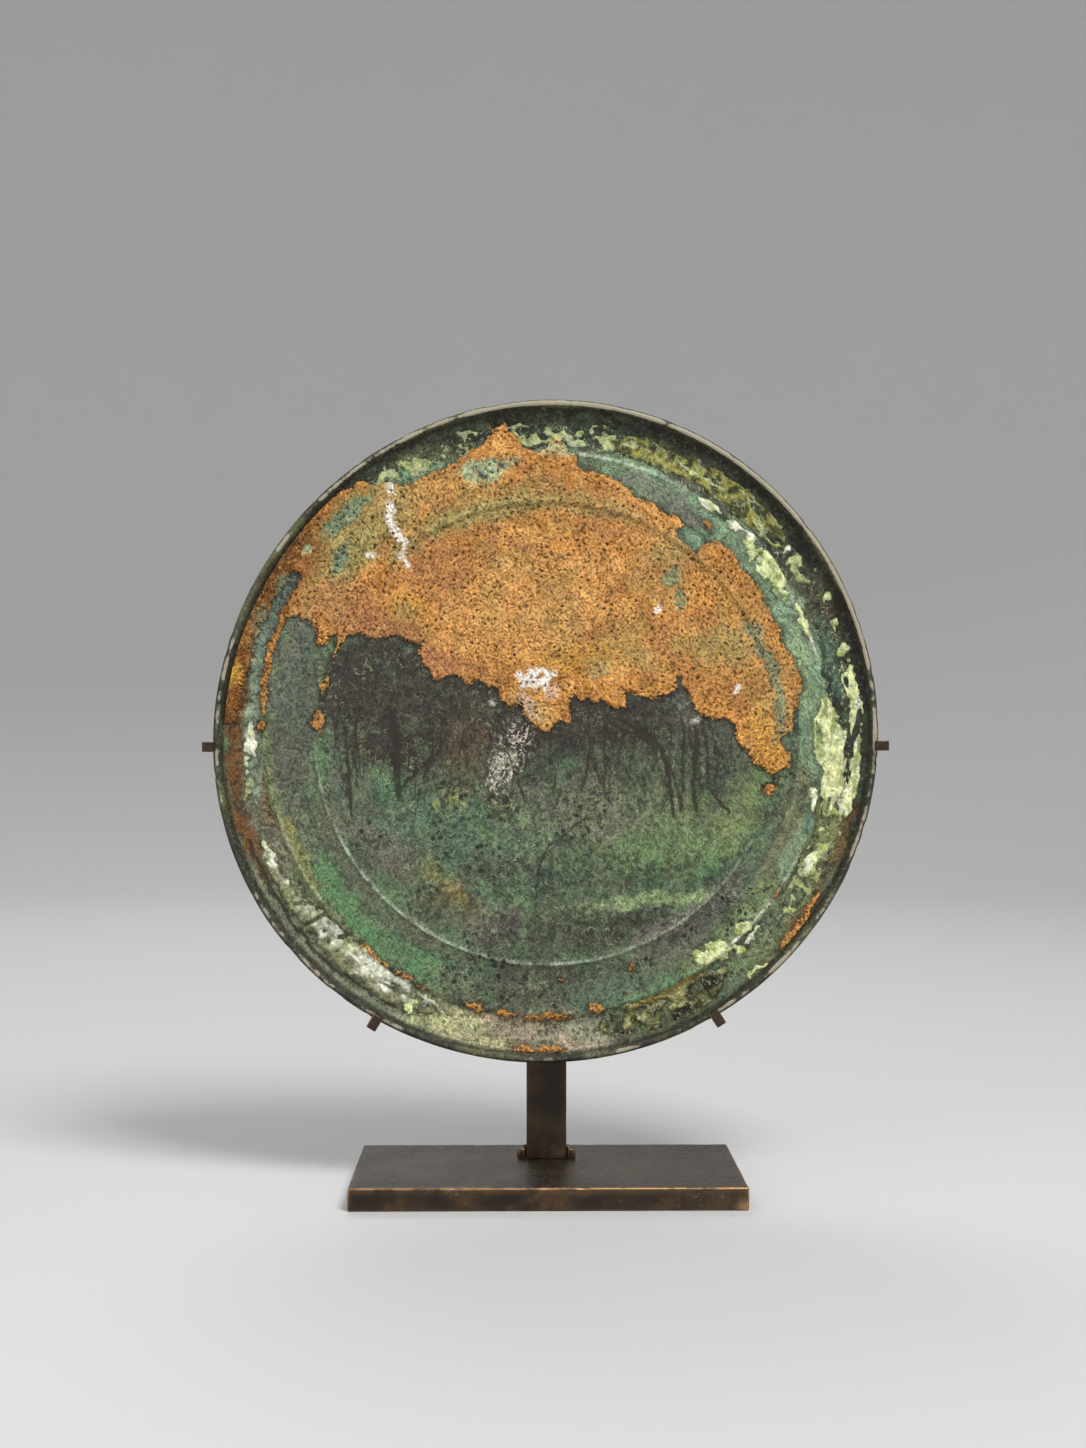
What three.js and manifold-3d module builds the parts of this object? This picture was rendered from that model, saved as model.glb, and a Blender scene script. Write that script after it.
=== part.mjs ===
// A round bronze mirror with a raised rim, held upright by a four-clawed cradle
// on a flat bar that stands on a rectangular plate.
// Millimetres, +Z up. The mirror's ringed side faces -Y. The origin is the middle of the plate's underside.

import * as THREE from "three";
import { mergeVertices } from "three/addons/utils/BufferGeometryUtils.js";
import Module from "manifold-3d";

const wasm = await Module();
wasm.setup();

// ---- Driving dimensions ----

const BASE = { width: 120, depth: 64, thickness: 7, cornerRadius: 1.5, edgeBreak: 0.5 };

const POST = { width: 12.7, thickness: 6.25, frontY: 8.75, edgeBreak: 0.4 };

// The collar is a low round boss that backs the post's foot. The clearance is left all round the post.
const COLLAR = { radius: 9.3, height: 3.2, shoulder: 1.4, setback: 0.9 };

const MIRROR = { radius: 104.5, centreZ: 143, edgeY: 5.25, segments: 96 };

// The cast and worn edge is not a true circle: it swells by these amounts towards these clock angles.
const EDGE_SWELL = [
  { lobes: 2, amount: 0.84, towardsDeg: 50 },
  { lobes: 3, amount: 0.54, towardsDeg: 6.5 },
];

// The swell fades out from the rim to the step where the field begins.
const SWELL_FROM_RADIUS = 90;
const SWELL_FULL_RADIUS = 102;

// The crust of burial deposit stands this proud of the bronze and is rooted at this height in it.
const CRUST = { thickness: 0.7, rootHeight: 1, outerRadius: 101.2 };

const HUB = { z: 138.5, radius: 11 };

const ARM = { width: 3.2, thickness: 2.5, bend: 1.3, noseRadius: 0.7 };

// Each claw bends round the mirror's edge at a clock angle and reaches in over the lip.
const CLAWS = [
  { clockDeg: 267.5, reach: 1.1 },
  { clockDeg: 92.3, reach: 1.4 },
  { clockDeg: 210.7, reach: 2.3 },
  { clockDeg: 149.2, reach: 2.3 },
];

const CLEARANCE = 0.35;

// ---- Materials ----

const bronze = new THREE.MeshStandardMaterial({ color: 0x4f6b4f, roughness: 0.8, metalness: 0.2 });
const brass = new THREE.MeshStandardMaterial({ color: 0x3a302a, roughness: 0.45, metalness: 0.8 });

// ---- Solids ----

const radians = THREE.MathUtils.degToRad;

// A closed geometry as a manifold-3d solid.
function solidOf(geometry) {
  const bare = geometry.clone();
  bare.deleteAttribute("normal");
  bare.deleteAttribute("uv");
  const merged = mergeVertices(bare, 1e-4);
  return new wasm.Manifold(
    new wasm.Mesh({
      numProp: 3,
      vertProperties: merged.attributes.position.array,
      triVerts: new Uint32Array(merged.index.array),
    }),
  );
}

// A manifold-3d solid as a geometry.
function geometryOf(solid) {
  const { vertProperties, triVerts } = solid.getMesh();
  const geometry = new THREE.BufferGeometry();
  geometry.setAttribute("position", new THREE.BufferAttribute(vertProperties, 3));
  geometry.setIndex(new THREE.BufferAttribute(triVerts, 1));
  return geometry;
}

// The solid that a geometry makes once it is turned and moved.
function placedSolid(geometry, matrix) {
  return solidOf(geometry.clone().applyMatrix4(matrix));
}

function namedMesh(name, geometry, material) {
  geometry.computeVertexNormals();
  const mesh = new THREE.Mesh(geometry, material);
  mesh.name = name;
  return mesh;
}

// A rectangle about the origin with its corners rounded.
function roundedRectangle(width, depth, radius) {
  const x = width / 2;
  const y = depth / 2;
  const shape = new THREE.Shape();
  shape.moveTo(x, -y + radius);
  shape.absarc(x - radius, y - radius, radius, 0, Math.PI / 2);
  shape.absarc(-x + radius, y - radius, radius, Math.PI / 2, Math.PI);
  shape.absarc(-x + radius, -y + radius, radius, Math.PI, 1.5 * Math.PI);
  shape.absarc(x - radius, -y + radius, radius, 1.5 * Math.PI, 2 * Math.PI);
  return shape;
}

// A shape of a full outer size, extruded from 0 up to height with every edge broken.
function brokenEdgeExtrusion(shape, height, edgeBreak, curveSegments = 4) {
  const geometry = new THREE.ExtrudeGeometry(shape, {
    depth: height - 2 * edgeBreak,
    bevelEnabled: true,
    bevelSize: edgeBreak,
    bevelOffset: -edgeBreak,
    bevelThickness: edgeBreak,
    bevelSegments: 1,
    curveSegments,
  });
  return geometry.translate(0, 0, edgeBreak);
}

// ---- Stand ----

function makeBase() {
  const outline = roundedRectangle(BASE.width, BASE.depth, BASE.cornerRadius);
  return brokenEdgeExtrusion(outline, BASE.thickness, BASE.edgeBreak);
}

const postTopZ = HUB.z + HUB.radius;
const postCentreY = POST.frontY + POST.thickness / 2;

function makePost() {
  const outline = roundedRectangle(POST.width, POST.thickness, POST.edgeBreak);
  const geometry = new THREE.ExtrudeGeometry(outline, {
    depth: postTopZ - BASE.thickness,
    bevelEnabled: false,
    curveSegments: 1,
  });
  return geometry.translate(0, postCentreY, BASE.thickness);
}

// A round boss with a softened shoulder, cut away level with the post's front and to let the post through.
function makeCollar() {
  const { radius, height, shoulder, setback } = COLLAR;
  const profile = new THREE.Path();
  profile.moveTo(0, 0);
  profile.lineTo(radius, 0);
  profile.lineTo(radius, height - shoulder);
  profile.absarc(radius - shoulder, height - shoulder, shoulder, 0, Math.PI / 2);
  profile.lineTo(0, height);
  const boss = new THREE.LatheGeometry(profile.getPoints(4), 40).rotateX(Math.PI / 2);
  const place = new THREE.Matrix4().makeTranslation(0, postCentreY, BASE.thickness);
  const front = new THREE.BoxGeometry(4 * radius, 2 * radius, 4 * height);
  const frontPlace = new THREE.Matrix4().makeTranslation(0, POST.frontY + setback - radius, BASE.thickness);
  const post = new THREE.BoxGeometry(
    POST.width + 2 * CLEARANCE,
    POST.thickness + 2 * CLEARANCE,
    4 * height,
  );
  return geometryOf(
    placedSolid(boss, place)
      .subtract(placedSolid(front, frontPlace))
      .subtract(placedSolid(post, place)),
  );
}

// ---- Mirror ----

// Heights are measured forward from the plane of the mirror's edge, radii from its centre.
// From the middle of the back, round the edge and lip, and in over the ringed front.
const BACK_PROFILE = [
  [0, -0.6],
  [40, -0.5],
  [80, -0.2],
  [100.5, 0],
];

const LIP_PROFILE = [
  [103.4, 0.3],
  [104.3, 1.3],
  [104.5, 3.8],
  [104.4, 6.2],
  [103.9, 7.3],
  [103.1, 7.6],
  [102.4, 7.2],
  [101.8, 6],
];

const FRONT_PROFILE = [
  [101, 4.9],
  [98.5, 3.8],
  [95.5, 3.15],
  [92.5, 2.95],
  [90.4, 3.2],
  [89.4, 4.1],
  [88.5, 4.35],
  [87.5, 4.05],
  [79.7, 3.85],
  [78.9, 3.45],
  [74.4, 3.4],
  [73.7, 3.85],
  [72.9, 3.85],
  [72, 2.95],
  [45, 2.75],
];

const FRONT_CENTRE = [0, 2.65];

// How far the edge stands out of a true circle at a clock angle, in radians.
function edgeSwell(clock) {
  return EDGE_SWELL.reduce(
    (sum, { lobes, amount, towardsDeg }) => sum + amount * Math.cos(lobes * (clock - radians(towardsDeg))),
    0,
  );
}

// The share of that swell which a point at a radius takes.
function swellShare(radius) {
  return THREE.MathUtils.smoothstep(radius, SWELL_FROM_RADIUS, SWELL_FULL_RADIUS);
}

// Turns a closed profile about the mirror's axis, swells its edge and stands it up facing -Y.
function turnedDisc(profile) {
  const points = profile.map(([radius, height]) => new THREE.Vector2(radius, height));
  const geometry = new THREE.LatheGeometry(points, MIRROR.segments).rotateX(Math.PI);
  const position = geometry.attributes.position;
  for (let i = 0; i < position.count; i++) {
    const x = position.getX(i);
    const z = position.getZ(i);
    const radius = Math.hypot(x, z);
    if (radius < SWELL_FROM_RADIUS) continue;
    const grown = 1 + (edgeSwell(Math.atan2(x, z)) * swellShare(radius)) / radius;
    position.setX(i, x * grown);
    position.setZ(i, z * grown);
  }
  return geometry.translate(0, MIRROR.edgeY, MIRROR.centreZ);
}

// The crust's outline seen from the front, from the mirror's centre: it covers the upper field,
// runs out to the rim on the left, and ends below in ragged lobes.
const CRUST_OUTLINE = [
  [-104, 2],
  [-97, 3],
  [-95, 14],
  [-91, 28],
  [-84, 43],
  [-79, 49],
  [-81, 42],
  [-86, 26],
  [-90, 8],
  [-87.5, 9],
  [-83, 27],
  [-79, 35.5],
  [-74, 35],
  [-71, 27.5],
  [-67, 31],
  [-69, 23],
  [-65, 31],
  [-47, 30],
  [-41, 27],
  [-36, 16.5],
  [-30, 19],
  [-25, 14.5],
  [-17, 16],
  [-13, 9],
  [-8, 9],
  [-5, 1],
  [1, 0.5],
  [8, 9.5],
  [16, 8.5],
  [25, 8],
  [27, 13],
  [34, 11],
  [42, 14.5],
  [50, 5.5],
  [58, 3.5],
  [65, -7],
  [71, -12],
  [77, -8],
  [72, 4],
  [77, 2],
  [81, 12],
  [79, 23],
  [74, 30],
  [67, 46],
  [61, 51],
  [56, 60],
  [48, 57],
  [42, 62],
  [43, 66.5],
  [30, 74],
  [20, 81],
  [9, 84],
  [6, 90.5],
  [-9, 91],
  [-14.5, 97],
  [-20, 91],
  [-30, 84],
  [-52, 78.5],
  [-64, 82],
  [-96, 50],
];

// A closed slab rooted inside the bronze whose front runs a crust's thickness above the mirror's own.
function makeCrust() {
  const { thickness, rootHeight, outerRadius } = CRUST;
  const covered = [...FRONT_PROFILE, FRONT_CENTRE].filter(([radius]) => radius < outerRadius);
  const front = covered.map(([radius, height]) => [radius, height + thickness]);
  const slab = turnedDisc([[0, rootHeight], [covered[0][0], rootHeight], ...front]);
  const outline = new THREE.Shape(CRUST_OUTLINE.map(([x, z]) => new THREE.Vector2(x, z)));
  const reach = 40;
  const prism = new THREE.ExtrudeGeometry(outline, { depth: reach, bevelEnabled: false });
  const stand = new THREE.Matrix4()
    .makeTranslation(0, MIRROR.edgeY + reach / 2, MIRROR.centreZ)
    .multiply(new THREE.Matrix4().makeRotationX(Math.PI / 2));
  return solidOf(slab).intersect(placedSolid(prism, stand));
}

function makeMirror() {
  const disc = turnedDisc([...BACK_PROFILE, ...LIP_PROFILE, ...FRONT_PROFILE, FRONT_CENTRE]);
  return geometryOf(solidOf(disc).add(makeCrust()));
}

// ---- Cradle ----

const hubCentre = new THREE.Vector2(0, HUB.z);
const armFrontY = POST.frontY - ARM.thickness;
const lipFrontY = MIRROR.edgeY - Math.max(...LIP_PROFILE.map(([, height]) => height));

// The point of the mirror's edge at a clock angle, seen from the front as x and z.
function edgePoint(clock) {
  const radius = MIRROR.radius + edgeSwell(clock);
  return new THREE.Vector2(radius * Math.sin(clock), MIRROR.centreZ + radius * Math.cos(clock));
}

// One flat bar in its own plane: u runs out from the hub and v runs forward.
// It lies behind the mirror, turns forward past the edge, and its nose turns in over the lip.
function clawOutline(edgeDistance, reach) {
  const { thickness, bend, noseRadius } = ARM;
  const inner = edgeDistance + CLEARANCE;
  const outer = inner + thickness;
  const noseBack = armFrontY - lipFrontY + CLEARANCE;
  const noseFront = noseBack + thickness;
  const tip = edgeDistance - reach;
  const shape = new THREE.Shape();
  shape.moveTo(0, -thickness);
  shape.lineTo(outer - bend, -thickness);
  shape.absarc(outer - bend, bend - thickness, bend, -Math.PI / 2, 0);
  shape.absarc(outer - bend, noseFront - bend, bend, 0, Math.PI / 2);
  shape.absarc(tip + noseRadius, noseFront - noseRadius, noseRadius, Math.PI / 2, Math.PI);
  shape.lineTo(tip, noseBack);
  shape.lineTo(inner, noseBack);
  shape.lineTo(inner, 0);
  shape.lineTo(0, 0);
  return shape;
}

function makeArm({ clockDeg, reach }) {
  const edge = edgePoint(radians(clockDeg));
  const out = edge.clone().sub(hubCentre);
  const outline = clawOutline(out.length(), reach);
  const bar = new THREE.ExtrudeGeometry(outline, {
    depth: ARM.width,
    bevelEnabled: false,
    curveSegments: 5,
  }).translate(0, 0, -ARM.width / 2);
  out.normalize();
  const along = new THREE.Vector3(out.x, 0, out.y);
  const forward = new THREE.Vector3(0, -1, 0);
  const across = along.clone().cross(forward);
  const place = new THREE.Matrix4()
    .makeBasis(along, forward, across)
    .setPosition(hubCentre.x, armFrontY, hubCentre.y);
  return placedSolid(bar, place);
}

function makeCradle() {
  const plate = new THREE.CylinderGeometry(HUB.radius, HUB.radius, ARM.thickness, 32);
  const place = new THREE.Matrix4().makeTranslation(hubCentre.x, armFrontY + ARM.thickness / 2, hubCentre.y);
  return geometryOf(CLAWS.reduce((cradle, claw) => cradle.add(makeArm(claw)), placedSolid(plate, place)));
}

// ---- The whole object ----

const object = new THREE.Group();
object.add(
  namedMesh("base_plate", makeBase(), brass),
  namedMesh("post", makePost(), brass),
  namedMesh("foot_collar", makeCollar(), brass),
  namedMesh("cradle", makeCradle(), brass),
  namedMesh("mirror", makeMirror(), bronze),
);

export default object;
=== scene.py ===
import math

import bmesh
import bpy
import numpy as np
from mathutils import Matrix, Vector
from mathutils.geometry import delaunay_2d_cdt


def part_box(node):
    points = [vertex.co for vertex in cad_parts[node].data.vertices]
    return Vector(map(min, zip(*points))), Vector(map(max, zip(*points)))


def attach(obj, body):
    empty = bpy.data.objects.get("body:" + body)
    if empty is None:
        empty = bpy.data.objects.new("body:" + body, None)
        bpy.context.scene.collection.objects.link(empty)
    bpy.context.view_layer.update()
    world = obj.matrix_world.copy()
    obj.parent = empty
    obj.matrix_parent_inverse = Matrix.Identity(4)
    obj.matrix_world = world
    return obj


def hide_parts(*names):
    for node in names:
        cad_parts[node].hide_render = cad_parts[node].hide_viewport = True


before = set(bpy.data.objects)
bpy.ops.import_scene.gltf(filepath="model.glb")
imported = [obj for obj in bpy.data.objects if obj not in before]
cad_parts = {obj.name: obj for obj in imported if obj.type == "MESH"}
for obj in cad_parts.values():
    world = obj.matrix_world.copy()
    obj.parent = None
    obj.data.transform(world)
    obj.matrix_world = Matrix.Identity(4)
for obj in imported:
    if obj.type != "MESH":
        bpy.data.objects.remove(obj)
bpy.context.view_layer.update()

MM = 0.001

# ---- the mirror's form, in millimetres

RIM_RADIUS = 104.5
BACK_DOME = 0.6

# The rim isn't a true circle: (lobes, how far they stand out, the clock angle they point to).
RIM_SWELL = ((2, 0.84, 50.0), (3, 0.54, 6.5))
SWELL_FROM, SWELL_FULL = 90.0, 102.0

# (radius, height in front of the rim's back edge), from the back's middle round to the front's middle.
PROFILE = (
    (0, -0.6), (40, -0.5), (80, -0.2), (100.5, 0.0), (103.4, 0.3), (104.3, 1.3), (104.5, 3.8), (104.4, 6.2),
    (103.9, 7.3), (103.1, 7.6), (102.4, 7.2), (101.8, 6.0), (101, 4.9), (98.5, 3.8), (95.5, 3.15),
    (92.5, 2.95), (90.4, 3.2), (89.4, 4.1), (88.5, 4.35), (87.5, 4.05), (79.7, 3.85), (78.9, 3.45),
    (74.4, 3.4), (73.7, 3.85), (72.9, 3.85), (72, 2.95), (45, 2.75), (0, 2.65),
)
PROFILE_ROUNDING = 0.32
PROFILE_STEP = 0.1
LIP_FOOT = 101.5

# How far apart the points of each mesh are. The rings' edges are finer than the flats between them.
EDGE_RINGS = ((71.4, 74.6), (78.4, 80), (87, 91.4), (101, 105))
EDGE_SPACING = 0.5
FIELD_SPACING = 0.6
BODY_SPACING = 0.72
LIP_SPACING = 1.0
BACK_SPACING = 4.0
CRUST_SPACING = 0.345
SCALE_SPACING = 0.4

# ---- smooth random fields


def lattice_noise(x, z, size, seed):
    """Smooth noise in about -1..1 with blobs size mm across."""
    n, far = 96, 1000.37
    table = np.random.default_rng(seed).uniform(-1, 1, (n, n))
    u, v = x / size + far, z / size + far + 0.34
    i, j = np.floor(u).astype(int), np.floor(v).astype(int)
    fu, fv = u - i, v - j
    fu, fv = fu * fu * (3 - 2 * fu), fv * fv * (3 - 2 * fv)
    i, j, i1, j1 = i % n, j % n, (i + 1) % n, (j + 1) % n
    low = table[i, j] * (1 - fu) + table[i1, j] * fu
    high = table[i, j1] * (1 - fu) + table[i1, j1] * fu
    return low * (1 - fv) + high * fv


def noise(x, z, size, seed, octaves=3):
    """Fractal noise in about -1..1, turned a little from one octave to the next."""
    total = np.zeros_like(x)
    weight = 1.0
    for k in range(octaves):
        a = 0.6 + 1.1 * k
        u, v = x * math.cos(a) - z * math.sin(a), x * math.sin(a) + z * math.cos(a)
        total += weight * lattice_noise(u, v, size / 2**k, seed + 31 * k)
        weight *= 0.5
    return total * 0.8


def grooves(pitch, slant, spread, seed, side=224.0, step=0.2):
    """A square grid of wavering ridges and grooves of one pitch in mm, about -1..1.

    It is white noise that keeps only the waves of that length whose direction is near slant, in degrees.
    """
    n = int(side / step)
    wave = np.fft.fft2(np.random.default_rng(seed).standard_normal((n, n)))
    f = np.fft.fftfreq(n, step)
    fx, fz = np.meshgrid(f, f, indexing="ij")
    length = np.hypot(fx, fz) * pitch
    turn = np.angle(np.exp(2j * (np.arctan2(fz, fx) - math.radians(slant)))) / 2
    keep = np.exp(-(((length - 1) / 0.42) ** 2)) * np.exp(-((turn / math.radians(spread)) ** 2))
    field = np.real(np.fft.ifft2(wave * keep))
    return field / (2 * field.std()), side, step


def sample(field, x, z):
    """A square grid's value at points, read between its nodes."""
    grid, side, step = field
    u, v = (x + side / 2) / step, (z + side / 2) / step
    i, j = np.floor(u).astype(int), np.floor(v).astype(int)
    fu, fv = u - i, v - j
    i, j = np.clip(i, 0, len(grid) - 2), np.clip(j, 0, len(grid) - 2)
    low = grid[i, j] * (1 - fu) + grid[i + 1, j] * fu
    high = grid[i, j + 1] * (1 - fu) + grid[i + 1, j + 1] * fu
    return low * (1 - fv) + high * fv


def warped(x, z, *ripples):
    """The points pushed about by noise: (how far, size in mm, seed for x, seed for z, octaves)."""
    wx, wz = x, z
    for far, size, seed_x, seed_z, octaves in ripples:
        wx = wx + far * noise(x, z, size, seed_x, octaves)
        wz = wz + far * noise(x, z, size, seed_z, octaves)
    return wx, wz


def smooth(low, high, value):
    """0 up to low, 1 from high on, and an even rise between them."""
    t = np.clip((value - low) / (high - low), 0, 1)
    return t * t * (3 - 2 * t)


# ---- marks on the mirror's face
# Places are millimetres from the mirror's centre, x to the right and z up, or a radius and a clock angle:
# degrees clockwise from the top, seen from the front. A reach is the distance inside a mark, or minus the
# distance outside it.


def polar(x, z):
    return np.hypot(x, z), np.degrees(np.arctan2(x, z)) % 360


def nearest_line(x, z, points):
    """The distance to an open line."""
    nearest = np.full(x.shape, 1e9)
    for (ax, az), (bx, bz) in zip(points, points[1:]):
        ex, ez = bx - ax, bz - az
        t = np.clip(((x - ax) * ex + (z - az) * ez) / (ex * ex + ez * ez), 0, 1)
        nearest = np.minimum(nearest, (x - ax - t * ex) ** 2 + (z - az - t * ez) ** 2)
    return np.sqrt(nearest)


def within(x, z, edges):
    """Whether points lie inside closed loops of edges."""
    inside = np.zeros(x.shape, bool)
    for (ax, az), (bx, bz) in edges:
        if az != bz:
            inside ^= ((az > z) != (bz > z)) & (x < ax + (z - az) * (bx - ax) / (bz - az))
    return inside


def outline_reach(x, z, points):
    """The reach of a closed outline."""
    inside = within(x, z, zip(points, points[1:] + points[:1]))
    return np.where(inside, 1, -1) * nearest_line(x, z, points + points[:1])


def line_reach(x, z, points, width):
    """The reach of a stroke of a width along an open line."""
    return width / 2 - nearest_line(x, z, points)


def spot_reach(x, z, cx, cz, long, wide, turn=0.0):
    """The reach of an oval, roughly. turn is its long axis's angle above +x, in degrees."""
    c, s = math.cos(math.radians(turn)), math.sin(math.radians(turn))
    u, v = (x - cx) * c + (z - cz) * s, (z - cz) * c - (x - cx) * s
    return (1 - np.hypot(u / (long / 2), v / (wide / 2))) * min(long, wide) / 2


def arc_reach(x, z, start, end, inner, outer):
    """The reach of a stretch of a ring, clockwise from start to end, tapered at its ends."""
    r, clock = polar(x, z)
    middle, half = (start + (end - start) % 360 / 2) % 360, (end - start) % 360 / 2
    off = np.abs((clock - middle + 180) % 360 - 180)
    along, width = np.radians(half - off) * r, (outer - inner) / 2
    narrowed = width * (1 - np.clip(1 - along / (3 * width), 0, 1) ** 2)
    return np.minimum(narrowed - np.abs(r - inner - width), along)


# The crust's outline: its ragged lower edge from left to right, the lobes of its right side,
# its upper edge from right to left, the rim that it runs out to on the left, and a thin tail in the hollow.
CRUST_EDGE = [
    (-80, 36), (-77, 36), (-75, 35), (-73, 33), (-72, 31), (-73, 28), (-69, 28), (-68.5, 31), (-66.5, 30),
    (-66.5, 27), (-68, 22.5), (-66.4, 24), (-65, 29), (-63.5, 30.5), (-60, 31.5), (-57, 30.5), (-54, 30),
    (-50, 30.5), (-47, 30.5), (-45, 29.5), (-43, 28.5), (-41, 27), (-39.5, 24.5), (-39, 22), (-38, 19),
    (-36.8, 17.4), (-35.4, 16), (-33, 17.5), (-31, 18.4), (-29, 18.5), (-27.5, 17.5), (-25.8, 15.2),
    (-24, 15), (-22, 16), (-20.5, 14.3), (-17.5, 14.5), (-16, 13.5), (-14.2, 10.3), (-12.8, 8.2), (-10, 9),
    (-8, 9), (-7.2, 6.1), (-6, 3.5), (-4, 1.5), (-2, 0.8), (0, 0.5), (2, 1.5), (4, 3.5), (6.8, 3.3),
    (7.5, 6), (7, 8.5), (7.8, 11.5), (10, 11.5), (11.5, 10), (13, 10.5), (16, 8.3), (18, 9.5), (20, 8.5),
    (22.7, 7.1), (25, 7.1), (25.5, 10), (24.5, 12.5), (26, 13.3), (28, 12.5), (31, 11.5), (33, 10.5),
    (35.4, 10.7), (38, 11.5), (40, 13), (40.7, 16.7), (41.6, 17.3), (42.6, 15), (43.8, 12.4), (46, 9.5),
    (48, 6.8), (50, 5), (53.7, 4), (56, 4), (58.6, 2.2), (60, -0.6), (62.2, -4.5), (66, -9.4),
    (69.2, -11.9), (71.7, -13.7), (75.6, -10.8), (77.3, -8), (75.2, -4.9), (74, -3), (74, 0), (77.5, 0),
    (77.5, 3), (79, 9), (81, 12), (80.5, 17), (78.5, 22.5), (75, 27), (73, 33.5), (71, 37), (69, 42),
    (66, 46.5), (63, 49.5), (61, 52), (60, 56), (57, 59.7), (53, 61), (50.5, 60), (48.5, 58.5), (47.3, 56),
    (45, 58.5), (42, 61), (40.5, 63.5), (44, 65), (42, 67), (39, 68.5), (36, 70), (34.5, 71.5), (31, 73.5),
    (28.3, 74.8), (25, 77.5), (22, 79.5), (19.3, 80.5), (17, 82), (13, 82.5), (10, 83.3), (9, 87.8),
    (7, 88.5), (6.2, 91), (4.5, 92), (2.7, 93.4), (1, 92), (0, 90.5), (-4, 89), (-7, 89.5), (-7.7, 91.5),
    (-10.8, 94.2), (-13, 95), (-14.3, 98.5), (-15.4, 96.5), (-18, 93.8), (-20, 91.5), (-23, 90),
    (-26.2, 87.6), (-30, 85), (-33.8, 83), (-38, 81), (-42, 79.5), (-45.5, 77.5), (-50, 79), (-54, 78),
    (-58.5, 79.3), (-71, 72), (-79, 64), (-86, 55), (-92, 47), (-97, 37), (-100.5, 28), (-104, 15),
    (-105, 2), (-97.5, 3), (-96.5, 10), (-94.5, 20), (-92, 29), (-88, 38), (-83.5, 46), (-80, 51),
    (-77.5, 50), (-80, 45), (-82.5, 41), (-85.8, 33), (-88.4, 24), (-90.8, 12), (-90.4, 5), (-88.6, 6),
    (-88.2, 14), (-86.2, 23), (-84, 30), (-82, 35),
]

# Crust that lies apart: ovals (x, z, long, wide, turn) and stretches of a ring (start, end, inner, outer).
CRUST_SPOTS = (
    (-70, 15, 5.5, 2.4, 72), (-72, 3.5, 6, 4.4, 80), (-90, 2, 4, 3, 90), (51, 65.5, 5, 2.4, -45),
    (70.5, -18.5, 4.6, 4, 0), (26.4, -74, 3.4, 2.6, -30), (4.4, -78, 2.2, 1.6, 0), (15.6, -87, 5, 3.2, 10),
    (-2, -90, 2, 1.2, 0), (72.8, -50.5, 4.6, 2.2, 60), (-58, -66.5, 1.8, 1.2, -40),
)
CRUST_ARCS = (
    (192.5, 197.5, 88, 90.6), (186, 191.5, 88, 90.4), (174.5, 184.5, 88.2, 91), (177, 188, 98.4, 101),
    (120, 134, 99, 101.2), (204, 228, 88.4, 89.9),
)

# Pale and olive scale: flaky patches that stand a little proud of the bronze.
# (start, end, inner, outer, tone) along a ring, and (x, z, long, wide, turn, tone) for ovals.
SCALE_ARCS = (
    (45.5, 62, 83.4, 90.2, "lime"), (58, 70, 86.4, 89, "lime"), (32, 40, 86.2, 89.8, "cream"),
    (40, 44.5, 87.2, 90, "cream"), (44, 49, 87.4, 90.6, "cream"), (82, 98, 84, 92.6, "pale"),
    (76, 107, 95.2, 99.6, "pale"), (87, 107, 88, 95, "pale"), (12, 36, 90.6, 98, "moss"),
    (26, 53, 91.2, 99, "moss"), (200, 236, 89.2, 98.8, "chalk"), (228, 248, 93.6, 98.4, "chalk"),
    (142, 171, 89.6, 99.6, "scab"), (316, 350, 90.6, 98, "dust"), (348, 18, 91, 98, "dust"),
    (50, 60, 92, 97, "dust"), (102, 128, 90, 98, "dust"),
)
SCALE_SPOTS = (
    (83.4, -20.5, 7.4, 3.4, 80, "pale"), (84, -42, 9, 5, 62, "pale"), (51.6, -69.4, 11, 6.6, 25, "lime"),
    (58.8, -69.8, 9, 4.4, 15, "lime"), (61, -61.5, 7, 5, 20, "lime"), (67.5, -74, 11, 5, 55, "lime"),
    (90.4, 33.4, 5.4, 3.6, 60, "pale"), (93.3, 26, 4.6, 2.6, 70, "lime"), (95.5, 20.4, 5, 2.6, 75, "lime"),
    (-38, 87, 8, 3.4, 24, "dust"), (-87, -40, 13, 4.2, -68, "cream"), (-82.3, -50, 9, 3.8, -56, "cream"),
    (-32, 90, 5, 2.6, 20, "dust"), (-93.4, -5, 17, 3.8, 86, "cream"), (-94, -18, 8, 2.2, 75, "dust"),
    (-90, -27, 8, 2.2, -62, "dust"), (75.8, 57.3, 3, 2, 50, "cream"), (65.8, -63, 10, 2, 50, "cream"),
    (88.4, 42.6, 5, 2.8, 65, "lime"), (82.6, 48, 9, 3, 55, "dust"), (-42.5, -86.5, 12, 4, -24, "lime"),
    (-50, -80, 6, 3, -40, "cream"),
)
SCALE_CRACKS = (
    (((-86, -52.5), (-84, -54.5), (-82.8, -57), (-79.9, -57.6), (-77, -61.1)), 0.9),
    (((-77, -61.1), (-73.7, -59.5), (-68, -55.6)), 0.9),
    (((-77, -61.1), (-75.2, -64.6)), 0.7),
    (((48, -79), (50.5, -82), (53, -86), (56, -87)), 0.9),
)

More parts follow.
